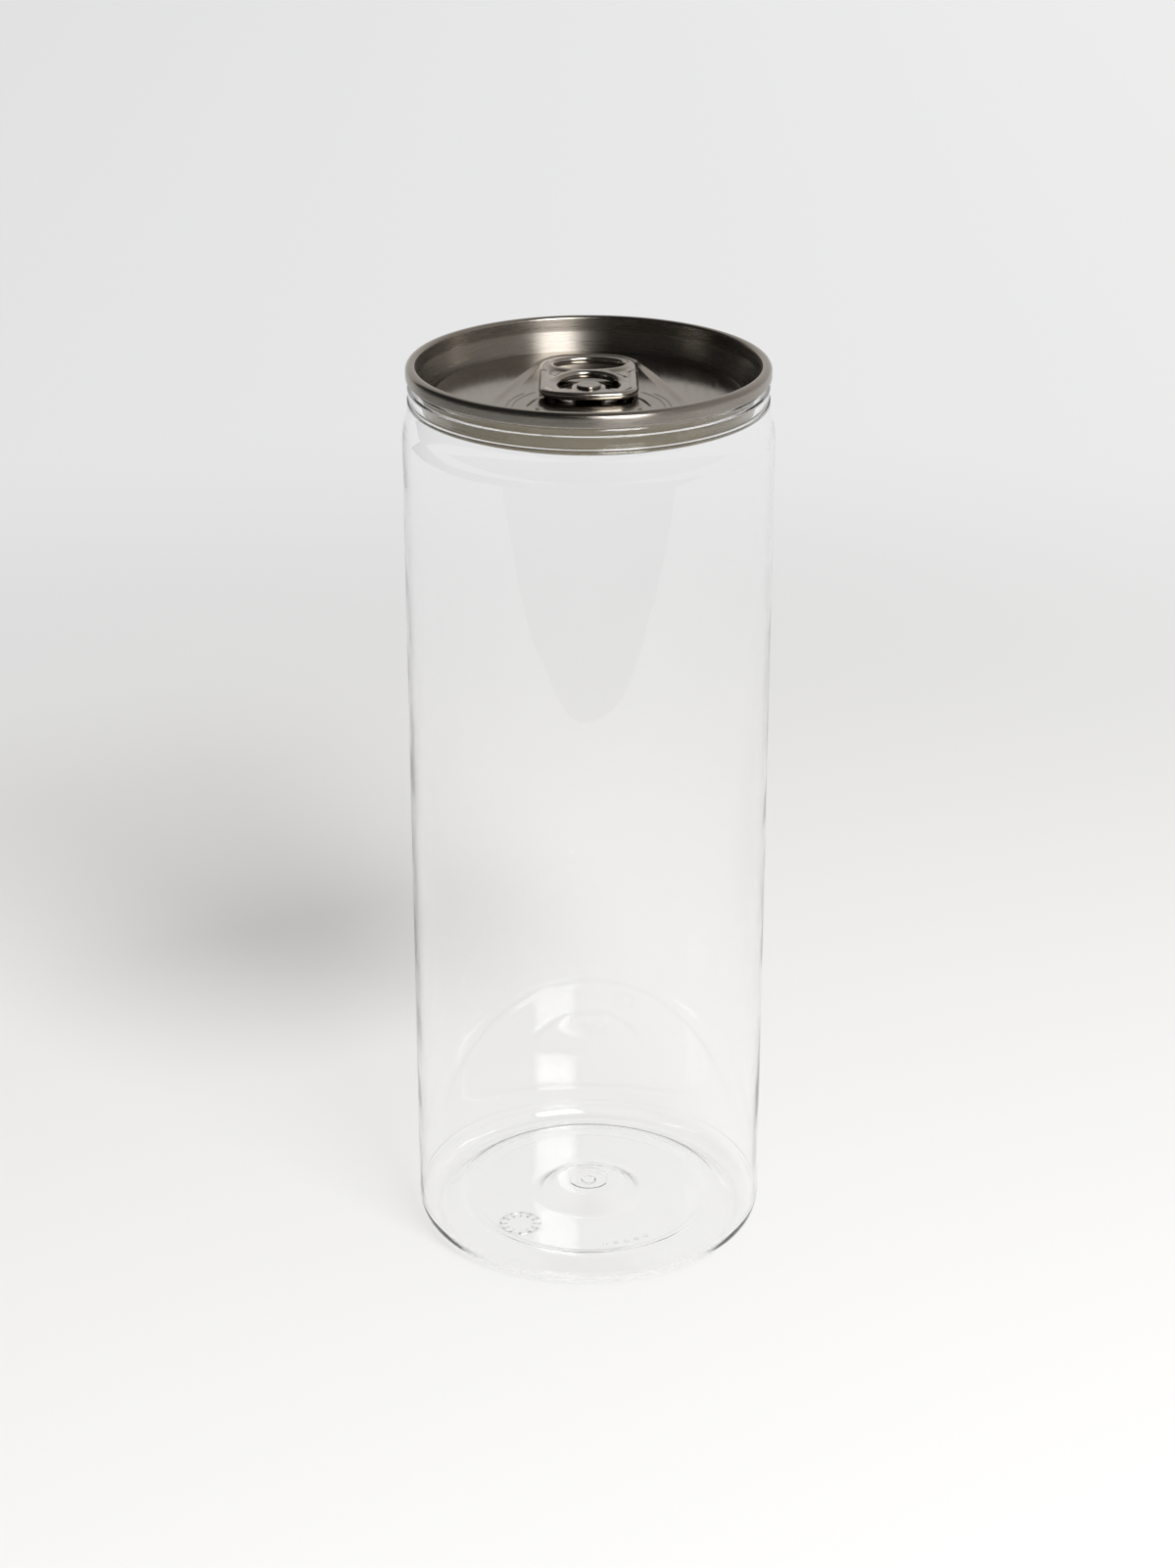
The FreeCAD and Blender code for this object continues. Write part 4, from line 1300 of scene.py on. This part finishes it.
@dataclass(frozen=True)
class EndSheet:
    """Rolled aluminium sheet under clear lacquer, satin, with drawing lines round its wall."""

    tone: str = "#A29C94"
    deep_tone: str = "#918B83"
    roughness: float = 0.13
    wall_roughness: float = 0.31
    wall_stretch: float = 0.9
    line_mm: float = 0.11
    line_run: float = 0.5
    line_height: float = 0.012
    grain_mm: float = 0.3
    grain_height: float = 0.006
    wall_radius: float = 25.2
    wall_blend: float = 0.3
    cloud_mm: float = 9.0

    def material(self) -> bpy.types.Material:
        """Satin metal: lines run round the seam and chuck wall, a straight grain over the panel.

        Returns:
            The material.
        """
        material, tree, surface = new_material("aluminium_rolled_lacquered")
        place = add_node(tree, "ShaderNodeTexCoord").outputs["Object"]
        parts = add_node(tree, "ShaderNodeSeparateXYZ", {"Vector": place})
        level = add_node(tree, "ShaderNodeVectorMath", {0: place, 1: (1.0, 1.0, 0.0)}, operation="MULTIPLY")
        radius = add_node(tree, "ShaderNodeVectorMath", {0: level.outputs["Vector"]}, operation="LENGTH")
        # A small circle in place of the large one stretches the noise into lines round the axis.
        outward = add_node(tree, "ShaderNodeVectorMath", {0: level.outputs["Vector"]}, operation="NORMALIZE")
        run = add_node(tree, "ShaderNodeVectorMath", {
            0: outward.outputs["Vector"], "Scale": self.line_run * MM}, operation="SCALE")
        runs = add_node(tree, "ShaderNodeSeparateXYZ", {"Vector": run.outputs["Vector"]})
        round_place = add_node(tree, "ShaderNodeCombineXYZ", {
            "X": radius.outputs["Value"], "Y": parts.outputs["Z"], "Z": runs.outputs["X"]})
        # Drawing lines: fine ridges round the wall that smear highlights upwards.
        lines = add_node(tree, "ShaderNodeTexNoise", {
            "Vector": round_place.outputs["Vector"], "W": runs.outputs["Y"],
            "Scale": 1 / (self.line_mm * MM), "Detail": 2.0}, noise_dimensions="4D")
        around = add_node(tree, "ShaderNodeVectorMath", {
            0: (0.0, 0.0, 1.0), 1: outward.outputs["Vector"]}, operation="CROSS_PRODUCT")
        # Rolling grain: faint straight streaks of the flat sheet.
        streaks = add_node(tree, "ShaderNodeMapping", {"Vector": place, "Scale": (1.0, 0.04, 1.0)})
        grain = add_node(tree, "ShaderNodeTexNoise", {
            "Vector": streaks.outputs["Vector"], "Scale": 1 / (self.grain_mm * MM), "Detail": 3.0})
        on_wall = add_node(tree, "ShaderNodeMapRange", {
            "Value": radius.outputs["Value"], "From Min": self.wall_radius * MM,
            "From Max": (self.wall_radius + self.wall_blend) * MM})
        # The seam's crest is ironed smooth: only upright faces keep the drawing lines.
        facing = add_node(tree, "ShaderNodeSeparateXYZ", {
            "Vector": add_node(tree, "ShaderNodeNewGeometry").outputs["Normal"]})
        level_part = add_node(tree, "ShaderNodeMath", {0: facing.outputs["Z"]}, operation="ABSOLUTE")
        upright = add_node(tree, "ShaderNodeMapRange", {
            "Value": level_part.outputs["Value"], "From Min": 0.35, "From Max": 0.8,
            "To Min": 1.0, "To Max": 0.0}, interpolation_type="SMOOTHSTEP")
        drawn = add_node(tree, "ShaderNodeMath", {
            0: on_wall.outputs["Result"], 1: upright.outputs["Result"]}, operation="MULTIPLY")
        line_bump = add_node(tree, "ShaderNodeBump", {
            "Height": lines.outputs["Fac"], "Strength": drawn.outputs["Value"],
            "Distance": self.line_height * MM})
        bump = add_node(tree, "ShaderNodeBump", {
            "Height": grain.outputs["Fac"], "Strength": 1.0, "Distance": self.grain_height * MM,
            "Normal": line_bump.outputs["Normal"]})
        clouds = add_node(tree, "ShaderNodeTexNoise", {
            "Vector": place, "Scale": 1 / (self.cloud_mm * MM), "Detail": 3.0})
        tone = add_node(tree, "ShaderNodeMix", {
            "Factor": clouds.outputs["Fac"], 6: linear(self.tone), 7: linear(self.deep_tone)},
            data_type="RGBA")
        rough = add_node(tree, "ShaderNodeMapRange", {
            "Value": grain.outputs["Fac"], "From Min": 0.3, "From Max": 0.7,
            "To Min": self.roughness - 0.03, "To Max": self.roughness + 0.04})
        worn = add_node(tree, "ShaderNodeMapRange", {
            "Value": lines.outputs["Fac"], "From Min": 0.3, "From Max": 0.7,
            "To Min": self.wall_roughness - 0.08, "To Max": self.wall_roughness + 0.08})
        rough_all = add_node(tree, "ShaderNodeMix", {
            "Factor": drawn.outputs["Value"], 2: rough.outputs["Result"], 3: worn.outputs["Result"]},
            data_type="FLOAT")
        stretch = add_node(tree, "ShaderNodeMath", {
            0: drawn.outputs["Value"], 1: self.wall_stretch}, operation="MULTIPLY")
        metal = add_node(tree, "ShaderNodeBsdfPrincipled", {
            "Base Color": tone.outputs[2], "Metallic": 1.0,
            "Roughness": rough_all.outputs[0], "Anisotropic": stretch.outputs["Value"],
            "Anisotropic Rotation": 0.25, "Tangent": around.outputs["Vector"],
            "Normal": bump.outputs["Normal"]})
        tree.links.new(metal.outputs["BSDF"], surface)
        return material


@dataclass(frozen=True)
class GoldLacquer:
    """Gold-toned lacquer that guards the end's inner face: warm and dull."""

    tone: str = "#7F7764"
    roughness: float = 0.29
    unevenness: float = 0.06
    cloud_mm: float = 4.0

    def material(self) -> bpy.types.Material:
        """Warm, dull metal with faint clouds.

        Returns:
            The material.
        """
        material, tree, surface = new_material("aluminium_gold_lacquered")
        place = add_node(tree, "ShaderNodeTexCoord").outputs["Object"]
        clouds = add_node(tree, "ShaderNodeTexNoise", {
            "Vector": place, "Scale": 1 / (self.cloud_mm * MM), "Detail": 3.0})
        rough = add_node(tree, "ShaderNodeMapRange", {
            "Value": clouds.outputs["Fac"], "To Min": self.roughness - self.unevenness,
            "To Max": self.roughness + self.unevenness})
        metal = add_node(tree, "ShaderNodeBsdfPrincipled", {
            "Base Color": linear(self.tone), "Metallic": 1.0, "Roughness": rough.outputs["Result"]})
        tree.links.new(metal.outputs["BSDF"], surface)
        return material


@dataclass(frozen=True)
class TabSheet:
    """Stamped aluminium of the tab: brighter and glossier than the end, lightly rubbed."""

    tone: str = "#ABA59D"
    roughness: float = 0.13
    rub_mm: float = 0.5
    rub_height: float = 0.006

    def material(self) -> bpy.types.Material:
        """Glossy stamped metal with faint rubbing along the tab.

        Returns:
            The material.
        """
        material, tree, surface = new_material("aluminium_stamped")
        place = add_node(tree, "ShaderNodeTexCoord").outputs["Object"]
        along = add_node(tree, "ShaderNodeMapping", {"Vector": place, "Scale": (1.0, 0.12, 1.0)})
        rubs = add_node(tree, "ShaderNodeTexNoise", {
            "Vector": along.outputs["Vector"], "Scale": 1 / (self.rub_mm * MM), "Detail": 3.0})
        bump = add_node(tree, "ShaderNodeBump", {
            "Height": rubs.outputs["Fac"], "Strength": 1.0, "Distance": self.rub_height * MM})
        rough = add_node(tree, "ShaderNodeMapRange", {
            "Value": rubs.outputs["Fac"], "From Min": 0.3, "From Max": 0.7,
            "To Min": self.roughness - 0.03, "To Max": self.roughness + 0.06})
        metal = add_node(tree, "ShaderNodeBsdfPrincipled", {
            "Base Color": linear(self.tone), "Metallic": 1.0,
            "Roughness": rough.outputs["Result"], "Normal": bump.outputs["Normal"]})
        tree.links.new(metal.outputs["BSDF"], surface)
        return material


# ---------------------------------------------------------------- studio
class Seen(Enum):
    """Where a sheet of the studio shows."""

    EVERYWHERE = "everywhere"
    IN_REFLECTIONS = "in reflections"
    IN_REFLECTIONS_AND_CLEAR_WALLS = "in reflections and through clear walls"


@dataclass
class Studio:
    """Pale floor, a soft key lamp, cards that reflections show, and the camera.

    Turns are degrees right of the camera as seen from the can, rises are degrees above the
    horizon, and lengths are millimetres.
    """

    lens_mm: float = 72.07
    sensor_mm: float = 36.0
    camera_back: float = 498.0
    camera_up: float = 298.4
    camera_pitch: float = 23.55
    shift: Point = (-0.00075, 0.0049)
    key_turn: float = 29.5
    key_rise: float = 45.0
    key_reach: float = 1600.0
    key_aim: float = 120.0
    key_size: Point = (620.0, 720.0)
    key_watts: float = 38.2
    glow: float = 11.0
    glow_turn: float = 24.0
    glow_rise: float = 38.0
    glow_size: Point = (940.0, 1250.0)
    glow_soft: float = 0.42
    floor_half: float = 6000.0
    floor_tone: str = "#E2E2E2"
    # Painted brightness of the far floor: shaded a little on the left, lit paler on the right by the key.
    far_shaded_left: str = "#E2E2E3"
    far_lit_right: str = "#EDEDED"
    far_start: float = 190.0
    far_end: float = 490.0
    far_half: float = 300.0
    table_edge: float = 290.0
    table_half: float = 900.0
    table_lift: float = 1.0
    # Fixed brightness of the dark cards: painted shade of the unlit room round the table.
    front_shade_tone: str = "#989898"
    flag_left: float = 230.0
    flag_from: float = 150.0
    flag_top: float = 900.0
    flag_front: float = 600.0
    flag_back: float = 200.0
    flag_shade_tone: str = "#3A3A3A"
    corner_shade_tone: str = "#181818"
    room_left: str = "#0A0A0A"
    room_right: str = "#B7B4B1"
    room_back: str = "#D5D2CF"
    backdrop: str = "#E8E8E8"

    def camera(self) -> bpy.types.Object:
        """Place the camera.

        Returns:
            The camera.
        """
        data = bpy.data.cameras.new("camera")
        data.lens = self.lens_mm
        data.sensor_width = self.sensor_mm
        data.clip_start, data.clip_end = 0.01, 100.0
        data.shift_x, data.shift_y = self.shift
        camera = bpy.data.objects.new("camera", data)
        camera.location = (0.0, -self.camera_back * MM, self.camera_up * MM)
        camera.rotation_euler = (math.radians(90 - self.camera_pitch), 0.0, 0.0)
        bpy.context.scene.collection.objects.link(camera)
        bpy.context.scene.camera = camera
        return camera

    def hung(self, turn: float, rise: float) -> tuple[Vector, Euler]:
        """Place and turn of a thing hung at the key's distance so that it faces the can.

        Args:
            turn: Its direction.
            rise: Its height above the horizon.

        Returns:
            Its place and its rotation.
        """
        side, up = math.radians(turn), math.radians(rise)
        away = Vector((math.sin(side) * math.cos(up), -math.cos(side) * math.cos(up), math.sin(up)))
        middle = Vector((0.0, 0.0, self.key_aim * MM))
        return middle + away * self.key_reach * MM, away.to_track_quat("Z", "Y").to_euler()

    def key_lamp(self) -> bpy.types.Object:
        """Hang the key: it lights the floor, and its cloth stands for it in reflections.

        Returns:
            The lamp.
        """
        data = bpy.data.lights.new("key", "AREA")
        data.shape = "RECTANGLE"
        data.size, data.size_y = self.key_size[0] * MM, self.key_size[1] * MM
        data.energy = self.key_watts
        lamp = bpy.data.objects.new("key", data)
        lamp.location, lamp.rotation_euler = self.hung(self.key_turn, self.key_rise)
        lamp.visible_camera = lamp.visible_glossy = lamp.visible_transmission = False
        bpy.context.scene.collection.objects.link(lamp)
        return lamp

    def sheet(
            self, name: str, corners: list[Place], material: bpy.types.Material,
            seen: Seen = Seen.EVERYWHERE) -> bpy.types.Object:
        """Add a flat sheet of the studio.

        Args:
            name: Its name.
            corners: Its corners in millimetres, in order.
            material: Its material.
            seen: Where it shows.

        Returns:
            The sheet.
        """
        mesh = bmesh.new()
        mesh.faces.new([mesh.verts.new(Vector(corner) * MM) for corner in corners])
        data = bpy.data.meshes.new(name)
        mesh.to_mesh(data)
        mesh.free()
        data.materials.append(material)
        card = bpy.data.objects.new(name, data)
        bpy.context.scene.collection.objects.link(card)
        if seen is not Seen.EVERYWHERE:
            card.visible_camera = card.visible_shadow = card.visible_diffuse = False
            card.visible_transmission = seen is Seen.IN_REFLECTIONS_AND_CLEAR_WALLS
        return card

    def card_material(self, name: str, colour: str) -> bpy.types.Material:
        """An evenly bright card.

        Args:
            name: Its name.
            colour: Its brightness as an sRGB hex value.

        Returns:
            The material.
        """
        material, tree, surface = new_material(name)
        glow = add_node(tree, "ShaderNodeEmission", {"Color": linear(colour), "Strength": 1.0})
        tree.links.new(glow.outputs["Emission"], surface)
        return material

    def soft_front(self) -> None:
        """Hang the lit cloth that reflections show: even inside, dim towards its edges."""
        material, tree, surface = new_material("softbox_cloth")
        place = add_node(tree, "ShaderNodeTexCoord").outputs["Object"]
        reach = add_node(tree, "ShaderNodeVectorMath", {0: place}, operation="ABSOLUTE")
        parts = add_node(tree, "ShaderNodeSeparateXYZ", {"Vector": reach.outputs["Vector"]})
        half_x, half_y = self.glow_size[0] / 2, self.glow_size[1] / 2
        fades = [add_node(tree, "ShaderNodeMapRange", {
            "Value": parts.outputs[axis], "From Min": half * self.glow_soft * MM, "From Max": half * MM,
            "To Min": 1.0, "To Max": 0.0}, interpolation_type="SMOOTHSTEP")
            for axis, half in (("X", half_x), ("Y", half_y))]
        share = add_node(tree, "ShaderNodeMath", {
            0: fades[0].outputs["Result"], 1: fades[1].outputs["Result"]}, operation="MULTIPLY")
        light = add_node(tree, "ShaderNodeMath", {
            0: share.outputs["Value"], 1: self.glow}, operation="MULTIPLY")
        cloth = add_node(tree, "ShaderNodeEmission", {
            "Color": linear("#FFFFFF"), "Strength": light.outputs["Value"]})
        tree.links.new(cloth.outputs["Emission"], surface)
        front = self.sheet("key_front", [
            (-half_x, -half_y, 0), (half_x, -half_y, 0), (half_x, half_y, 0), (-half_x, half_y, 0)],
            material, Seen.IN_REFLECTIONS_AND_CLEAR_WALLS)
        front.location, front.rotation_euler = self.hung(self.glow_turn, self.glow_rise)

    def floor_material(self) -> bpy.types.Material:
        """Matt paper that takes the shadow, and runs out into a pale distance whose brightness is painted: a
        little darker on the left, paler on the right where the key falls.

        Returns:
            The material.
        """
        material, tree, surface = new_material("matt_paper_floor")
        place = add_node(tree, "ShaderNodeTexCoord").outputs["Object"]
        parts = add_node(tree, "ShaderNodeSeparateXYZ", {"Vector": place})
        paper = add_node(tree, "ShaderNodeBsdfDiffuse", {"Color": linear(self.floor_tone)})
        # Painted light across the distance: a little darker on the left, paler on the right towards the key.
        across = add_node(tree, "ShaderNodeMapRange", {
            "Value": parts.outputs["X"], "From Min": -self.far_half * MM,
            "From Max": self.far_half * MM})
        tone = add_node(tree, "ShaderNodeMix", {
            "Factor": across.outputs["Result"], 6: linear(self.far_shaded_left), 7: linear(self.far_lit_right)},
            data_type="RGBA")
        distance = add_node(tree, "ShaderNodeEmission", {"Color": tone.outputs[2], "Strength": 1.0})
        reach = add_node(tree, "ShaderNodeVectorMath", {0: place}, operation="LENGTH")
        far = add_node(tree, "ShaderNodeMapRange", {
            "Value": reach.outputs["Value"], "From Min": self.far_start * MM,
            "From Max": self.far_end * MM}, interpolation_type="SMOOTHSTEP")
        path = add_node(tree, "ShaderNodeLightPath")
        direct = add_node(tree, "ShaderNodeMath", {
            0: path.outputs["Is Camera Ray"], 1: path.outputs["Is Glossy Ray"]}, operation="MAXIMUM")
        seen = add_node(tree, "ShaderNodeMath", {
            0: direct.outputs["Value"], 1: path.outputs["Is Transmission Ray"]}, operation="MAXIMUM")
        share = add_node(tree, "ShaderNodeMath", {
            0: far.outputs["Result"], 1: seen.outputs["Value"]}, operation="MULTIPLY")
        mixed = add_node(tree, "ShaderNodeMixShader", {
            0: share.outputs["Value"], 1: paper.outputs["BSDF"], 2: distance.outputs["Emission"]})
        tree.links.new(mixed.outputs["Shader"], surface)
        return material

    def world(self) -> None:
        """A dim room: dark on the left, paler on the right and behind; pale where seen straight."""
        world = bpy.data.worlds.new("studio")
        bpy.context.scene.world = world
        world.use_nodes = True
        tree = world.node_tree
        tree.nodes.clear()
        output = add_node(tree, "ShaderNodeOutputWorld")
        way = add_node(tree, "ShaderNodeTexCoord").outputs["Generated"]
        parts = add_node(tree, "ShaderNodeSeparateXYZ", {"Vector": way})
        side = add_node(tree, "ShaderNodeMapRange", {
            "Value": parts.outputs["X"], "From Min": -0.35, "From Max": 0.8},
            interpolation_type="SMOOTHSTEP")
        sides = add_node(tree, "ShaderNodeMix", {
            "Factor": side.outputs["Result"], 6: linear(self.room_left), 7: linear(self.room_right)},
            data_type="RGBA")
        behind = add_node(tree, "ShaderNodeMapRange", {
            "Value": parts.outputs["Y"], "From Min": 0.3, "From Max": 0.9},
            interpolation_type="SMOOTHSTEP")
        walls = add_node(tree, "ShaderNodeMix", {
            "Factor": behind.outputs["Result"], 6: sides.outputs[2], 7: linear(self.room_back)},
            data_type="RGBA")
        room = add_node(tree, "ShaderNodeBackground", {"Color": walls.outputs[2], "Strength": 1.0})
        pale = add_node(tree, "ShaderNodeBackground", {"Color": linear(self.backdrop), "Strength": 1.0})
        path = add_node(tree, "ShaderNodeLightPath")
        seen = add_node(tree, "ShaderNodeMath", {
            0: path.outputs["Is Camera Ray"], 1: path.outputs["Is Transmission Ray"]},
            operation="MAXIMUM")
        mixed = add_node(tree, "ShaderNodeMixShader", {
            0: seen.outputs["Value"], 1: room.outputs["Background"], 2: pale.outputs["Background"]})
        tree.links.new(mixed.outputs["Shader"], output.inputs["Surface"])

    def dark_cards(self) -> None:
        """Lay out what is dark round the table and shows in metal and clear wall alone: sheets that glow at
        a fixed dim level, painted shade of the unlit room.
        """
        half, edge, lift = self.table_half, self.table_edge, self.table_lift
        # The room before the table's front edge, in painted shade.
        self.sheet(
            "dark_front",
            [(-half, -self.floor_half, lift), (half, -self.floor_half, lift), (half, -edge, lift),
             (-half, -edge, lift)],
            self.card_material("dark_front", self.front_shade_tone), Seen.IN_REFLECTIONS)
        # The unlit corner of the room, left of the table.
        self.sheet(
            "dark_floor",
            [(x, y, 2 * lift) for x, y in (
                (-345, -480), (-535, 110), (-450, 470), (-1500, 900), (-1100, -1300))],
            self.card_material("dark_floor", self.corner_shade_tone), Seen.IN_REFLECTIONS)
        # The upright flag on the left, hung clear of the floor; its fixed dim glow is painted shade.
        left, front, back = -self.flag_left, -self.flag_front, self.flag_back
        low, high = self.flag_from, self.flag_top
        self.sheet(
            "dark_left", [(left, front, low), (left, back, low), (left, back, high), (left, front, high)],
            self.card_material("dark_left", self.flag_shade_tone), Seen.IN_REFLECTIONS)

    def build(self) -> None:
        """Set up the whole studio."""
        bpy.context.scene.view_settings.view_transform = "Standard"
        self.camera()
        half = self.floor_half
        self.sheet(
            "floor", [(-half, -half, 0), (half, -half, 0), (half, half, 0), (-half, half, 0)],
            self.floor_material())
        self.dark_cards()
        self.world()
        self.key_lamp()
        self.soft_front()


def main() -> None:
    """Build the can on its frame and the studio round it."""
    logging.basicConfig(level=logging.INFO, format="%(message)s")
    end_low, end_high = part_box("can_end")
    body_low, body_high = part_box("can_body")
    seam = Seam(rim=end_high.z / MM, outside=(end_high.x - end_low.x) / 2 / MM)
    ridge = ClearBody.ridge_out
    body = ClearBody(seam=seam, radius=(body_high.x - body_low.x) / 2 / MM - ridge)
    pieces = [body.build(ClearPet())]
    pieces += CanEnd(seam=seam).build(EndSheet(), GoldLacquer())
    pieces += PullTab(seam=seam).build(TabSheet())
    Studio().build()
    for piece in pieces:
        log.info("%s: %.1f x %.1f x %.1f mm", piece.name, *(d / MM for d in piece.dimensions))


if __name__ == "__main__":
    main()
